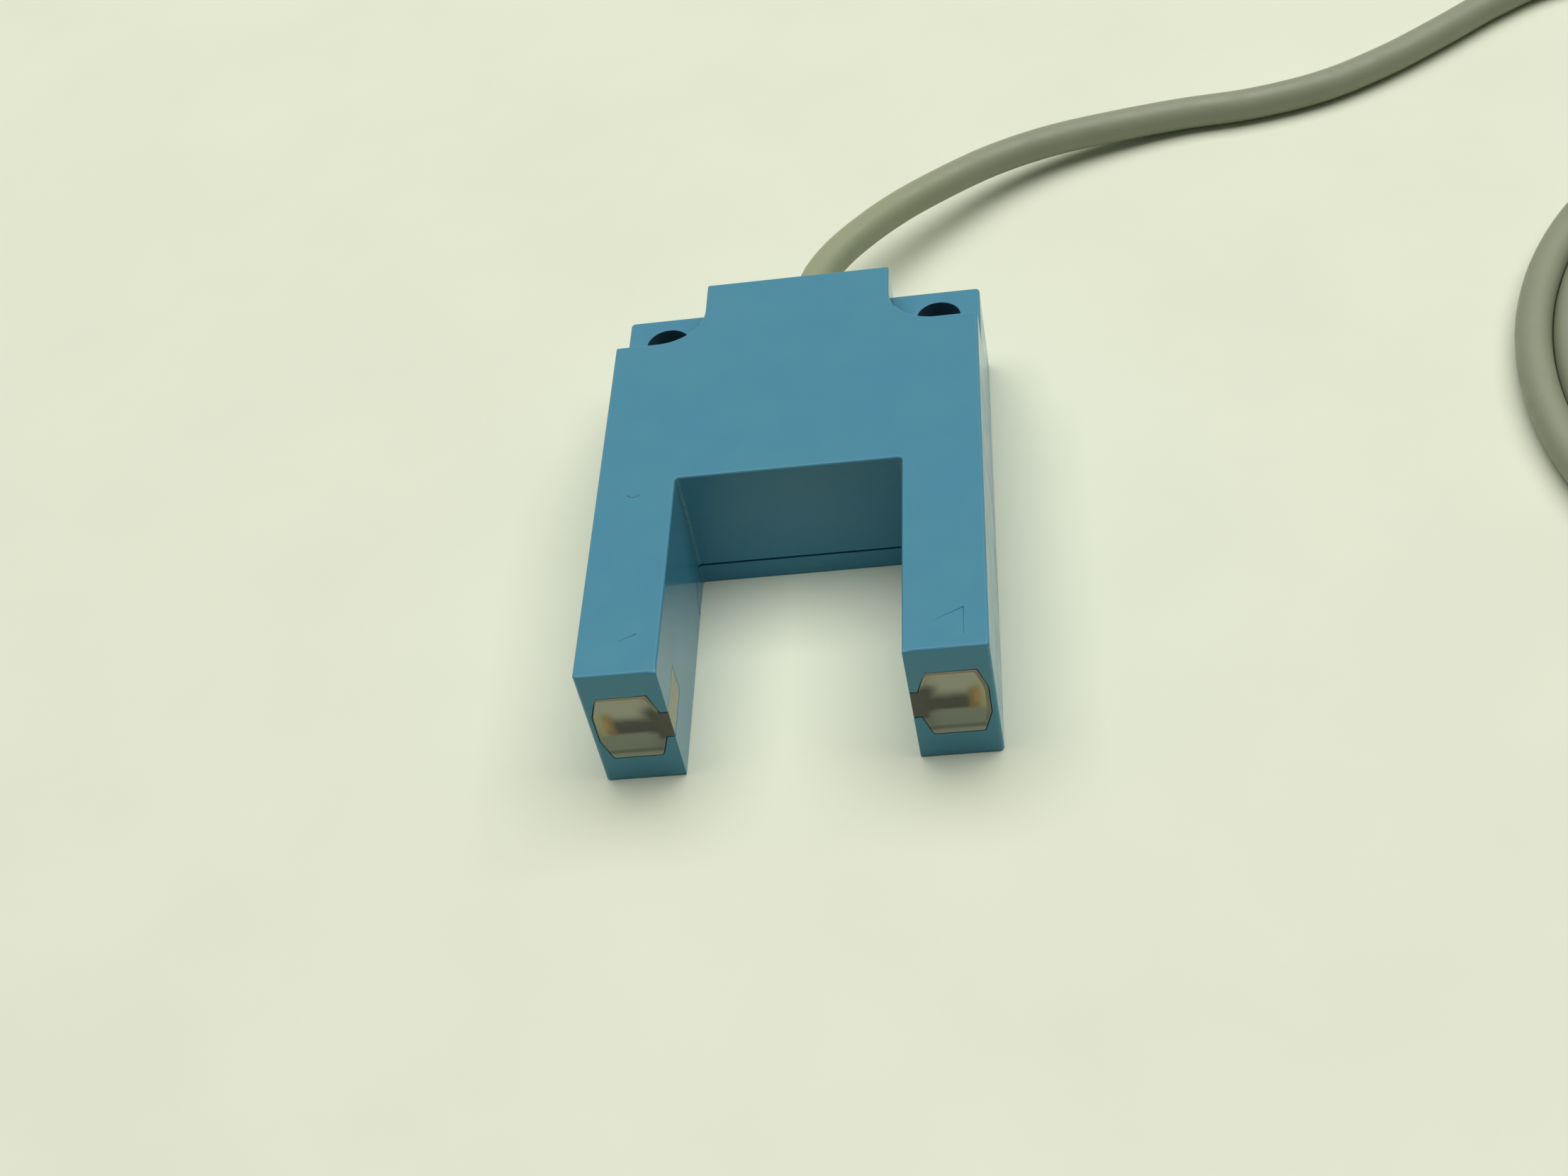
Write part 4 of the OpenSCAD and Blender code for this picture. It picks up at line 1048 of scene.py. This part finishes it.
class VANE_OT_inner_parts(bpy.types.Operator):
    """Finishes the seals, the screws and the parts inside the casting"""
    bl_idname = "vane.inner_parts"
    bl_label = "Inner parts"

    def execute(self, context):
        steel = metal("screw_steel", (0.62, 0.63, 0.65))
        epoxy = moulded("chip_epoxy", (0.07, 0.07, 0.07), (0.45, 0.6), 0.03)
        amber = moulded("amber_resin", (0.8, 0.42, 0.12), (0.12, 0.25), 0.06, Coat_Weight=0.4)
        rubber = moulded("seal_rubber", (0.1, 0.1, 0.1), (0.55, 0.72), 0.04)
        plastic = moulded("black_plastic", (0.06, 0.06, 0.06), (0.4, 0.55), 0.03)
        finishes = {
            "cover_gasket": rubber,
            "cable_bush": rubber,
            "cover_screws": steel,
            "board_screws": steel,
            "emitter_shroud": plastic,
            "receiver_shroud": plastic,
            "emitter_diode": amber,
            "receiver_diode": amber,
            "emitter_wires": lead_sleeve("red", bytes_colour(178, 24, 18)),
            "receiver_wires": lead_sleeve("dark_blue", bytes_colour(26, 52, 150)),
            "circuit_board": board_laminate(),
            "amplifier_chip": epoxy,
            "output_transistor": epoxy,
            "voltage_regulator": epoxy,
            "protection_diode": epoxy,
            "chip_resistors": moulded("resistor_glaze", (0.1, 0.1, 0.12), (0.2, 0.35), 0.04),
            "filter_capacitor": can_sleeve(),
            "chip_capacitors": moulded("chip_ceramic", (0.55, 0.45, 0.3), (0.35, 0.5), 0.06),
            "board_cores": lead_sleeve("core_brown", bytes_colour(92, 56, 34)),
            "cable_collar": metal("collar_brass", (0.75, 0.6, 0.3), along=(1.0, 8.0, 1.0)),
        }
        for node, material in finishes.items():
            dress(NODES[node], material)
        return {"FINISHED"}


# Stage. The lamp's light is a little warm and the sky's a little cool, and the background shows in
# the floor's colour at that strength.

LAMP_TINT = (1.0, 0.985, 0.95)
SKY_TINT = (0.95, 0.98, 1.0, 1.0)
BACKGROUND_STRENGTH = 0.9


class VANE_OT_stage(bpy.types.Operator):
    """Sets a pale floor, one large soft lamp and an even sky"""
    bl_idname = "vane.stage"
    bl_label = "Stage"

    def execute(self, context):
        stage = context.scene.vane_stage
        self.floor(stage)
        self.lamp(context, stage)
        self.sky(context, stage)
        context.scene.view_settings.view_transform = "Standard"
        return {"FINISHED"}

    def floor(self, stage):
        """A large flat sheet that the sensor lies on."""
        corners = np.array([[-1, -1, 0], [1, -1, 0], [1, 1, 0], [-1, 1, 0]]) * stage.floor_reach
        floor = new_piece("floor", corners, np.array([[0, 1, 2, 3]]))
        finish = Finish("floor_sheet", Specular_IOR_Level=0.3)
        shade = finish.ramp(finish.noise(30, 3), 0.2, 0.8)
        darker = tuple(0.985 * c for c in stage.floor)
        colour = finish.blend(shade, display(stage.floor), display(darker))
        dress(floor, finish.wear(colour, finish.ramp(shade, 0, 1, 0.5, 0.56)))

    def lamp(self, context, stage):
        """One large lamp hangs level above the object and behind it."""
        lamp = bpy.data.lights.new("main_lamp", "AREA")
        lamp.shape = "RECTANGLE"
        lamp.size = stage.lamp_width
        lamp.size_y = stage.lamp_depth
        lamp.energy = stage.key_power
        lamp.color = LAMP_TINT
        holder = bpy.data.objects.new("main_lamp", lamp)
        holder.location = stage.lamp_place
        context.scene.collection.objects.link(holder)

    def sky(self, context, stage):
        """Even light on the object, and a pale background where the camera or a gloss sees it."""
        world = bpy.data.worlds.new("sky")
        context.scene.world = world
        world.use_nodes = True
        nodes, links = world.node_tree.nodes, world.node_tree.links
        light = nodes["Background"]
        light.inputs["Color"].default_value = SKY_TINT
        light.inputs["Strength"].default_value = stage.sky
        seen = nodes.new("ShaderNodeBackground")
        seen.inputs["Color"].default_value = display(stage.floor)
        seen.inputs["Strength"].default_value = BACKGROUND_STRENGTH
        rays = nodes.new("ShaderNodeLightPath").outputs
        either = rays["Is Camera Ray"]
        for kind in ("Is Transmission Ray", "Is Glossy Ray"):
            larger = nodes.new("ShaderNodeMath")
            larger.operation = "MAXIMUM"
            links.new(either, larger.inputs[0])
            links.new(rays[kind], larger.inputs[1])
            either = larger.outputs[0]
        mixed = nodes.new("ShaderNodeMixShader")
        for number, source in enumerate((either, light.outputs[0], seen.outputs[0])):
            links.new(source, mixed.inputs[number])
        links.new(mixed.outputs[0], nodes["World Output"].inputs["Surface"])


class VANE_PT_panel(bpy.types.Panel):
    """Steps of the finish, in order"""
    bl_label = "Vane Sensor"
    bl_idname = "VANE_PT_panel"
    bl_space_type = "VIEW_3D"
    bl_region_type = "UI"
    bl_category = "Vane Sensor"

    def draw(self, context):
        for operator in OPERATORS:
            self.layout.operator(operator.bl_idname)


SETTINGS = {"vane_casting": CastingSettings, "vane_windows": WindowSettings,
            "vane_cable": CableSettings, "vane_stage": StageSettings}
OPERATORS = (VANE_OT_camera, VANE_OT_cable, VANE_OT_casting, VANE_OT_windows, VANE_OT_inner_parts,
             VANE_OT_stage)


def register():
    """Registers the settings, the steps and the panel."""
    for name, group in SETTINGS.items():
        bpy.utils.register_class(group)
        setattr(bpy.types.Scene, name, PointerProperty(type=group))
    for kind in (*OPERATORS, VANE_PT_panel):
        bpy.utils.register_class(kind)


def unregister():
    """Takes back what register() added."""
    for kind in (VANE_PT_panel, *reversed(OPERATORS)):
        bpy.utils.unregister_class(kind)
    for name, group in SETTINGS.items():
        delattr(bpy.types.Scene, name)
        bpy.utils.unregister_class(group)


def main():
    """Runs every step in order."""
    register()
    bpy.ops.vane.camera()
    bpy.ops.vane.cable()
    bpy.ops.vane.casting()
    bpy.ops.vane.windows()
    bpy.ops.vane.inner_parts()
    bpy.ops.vane.stage()


if __name__ == "__main__":
    main()
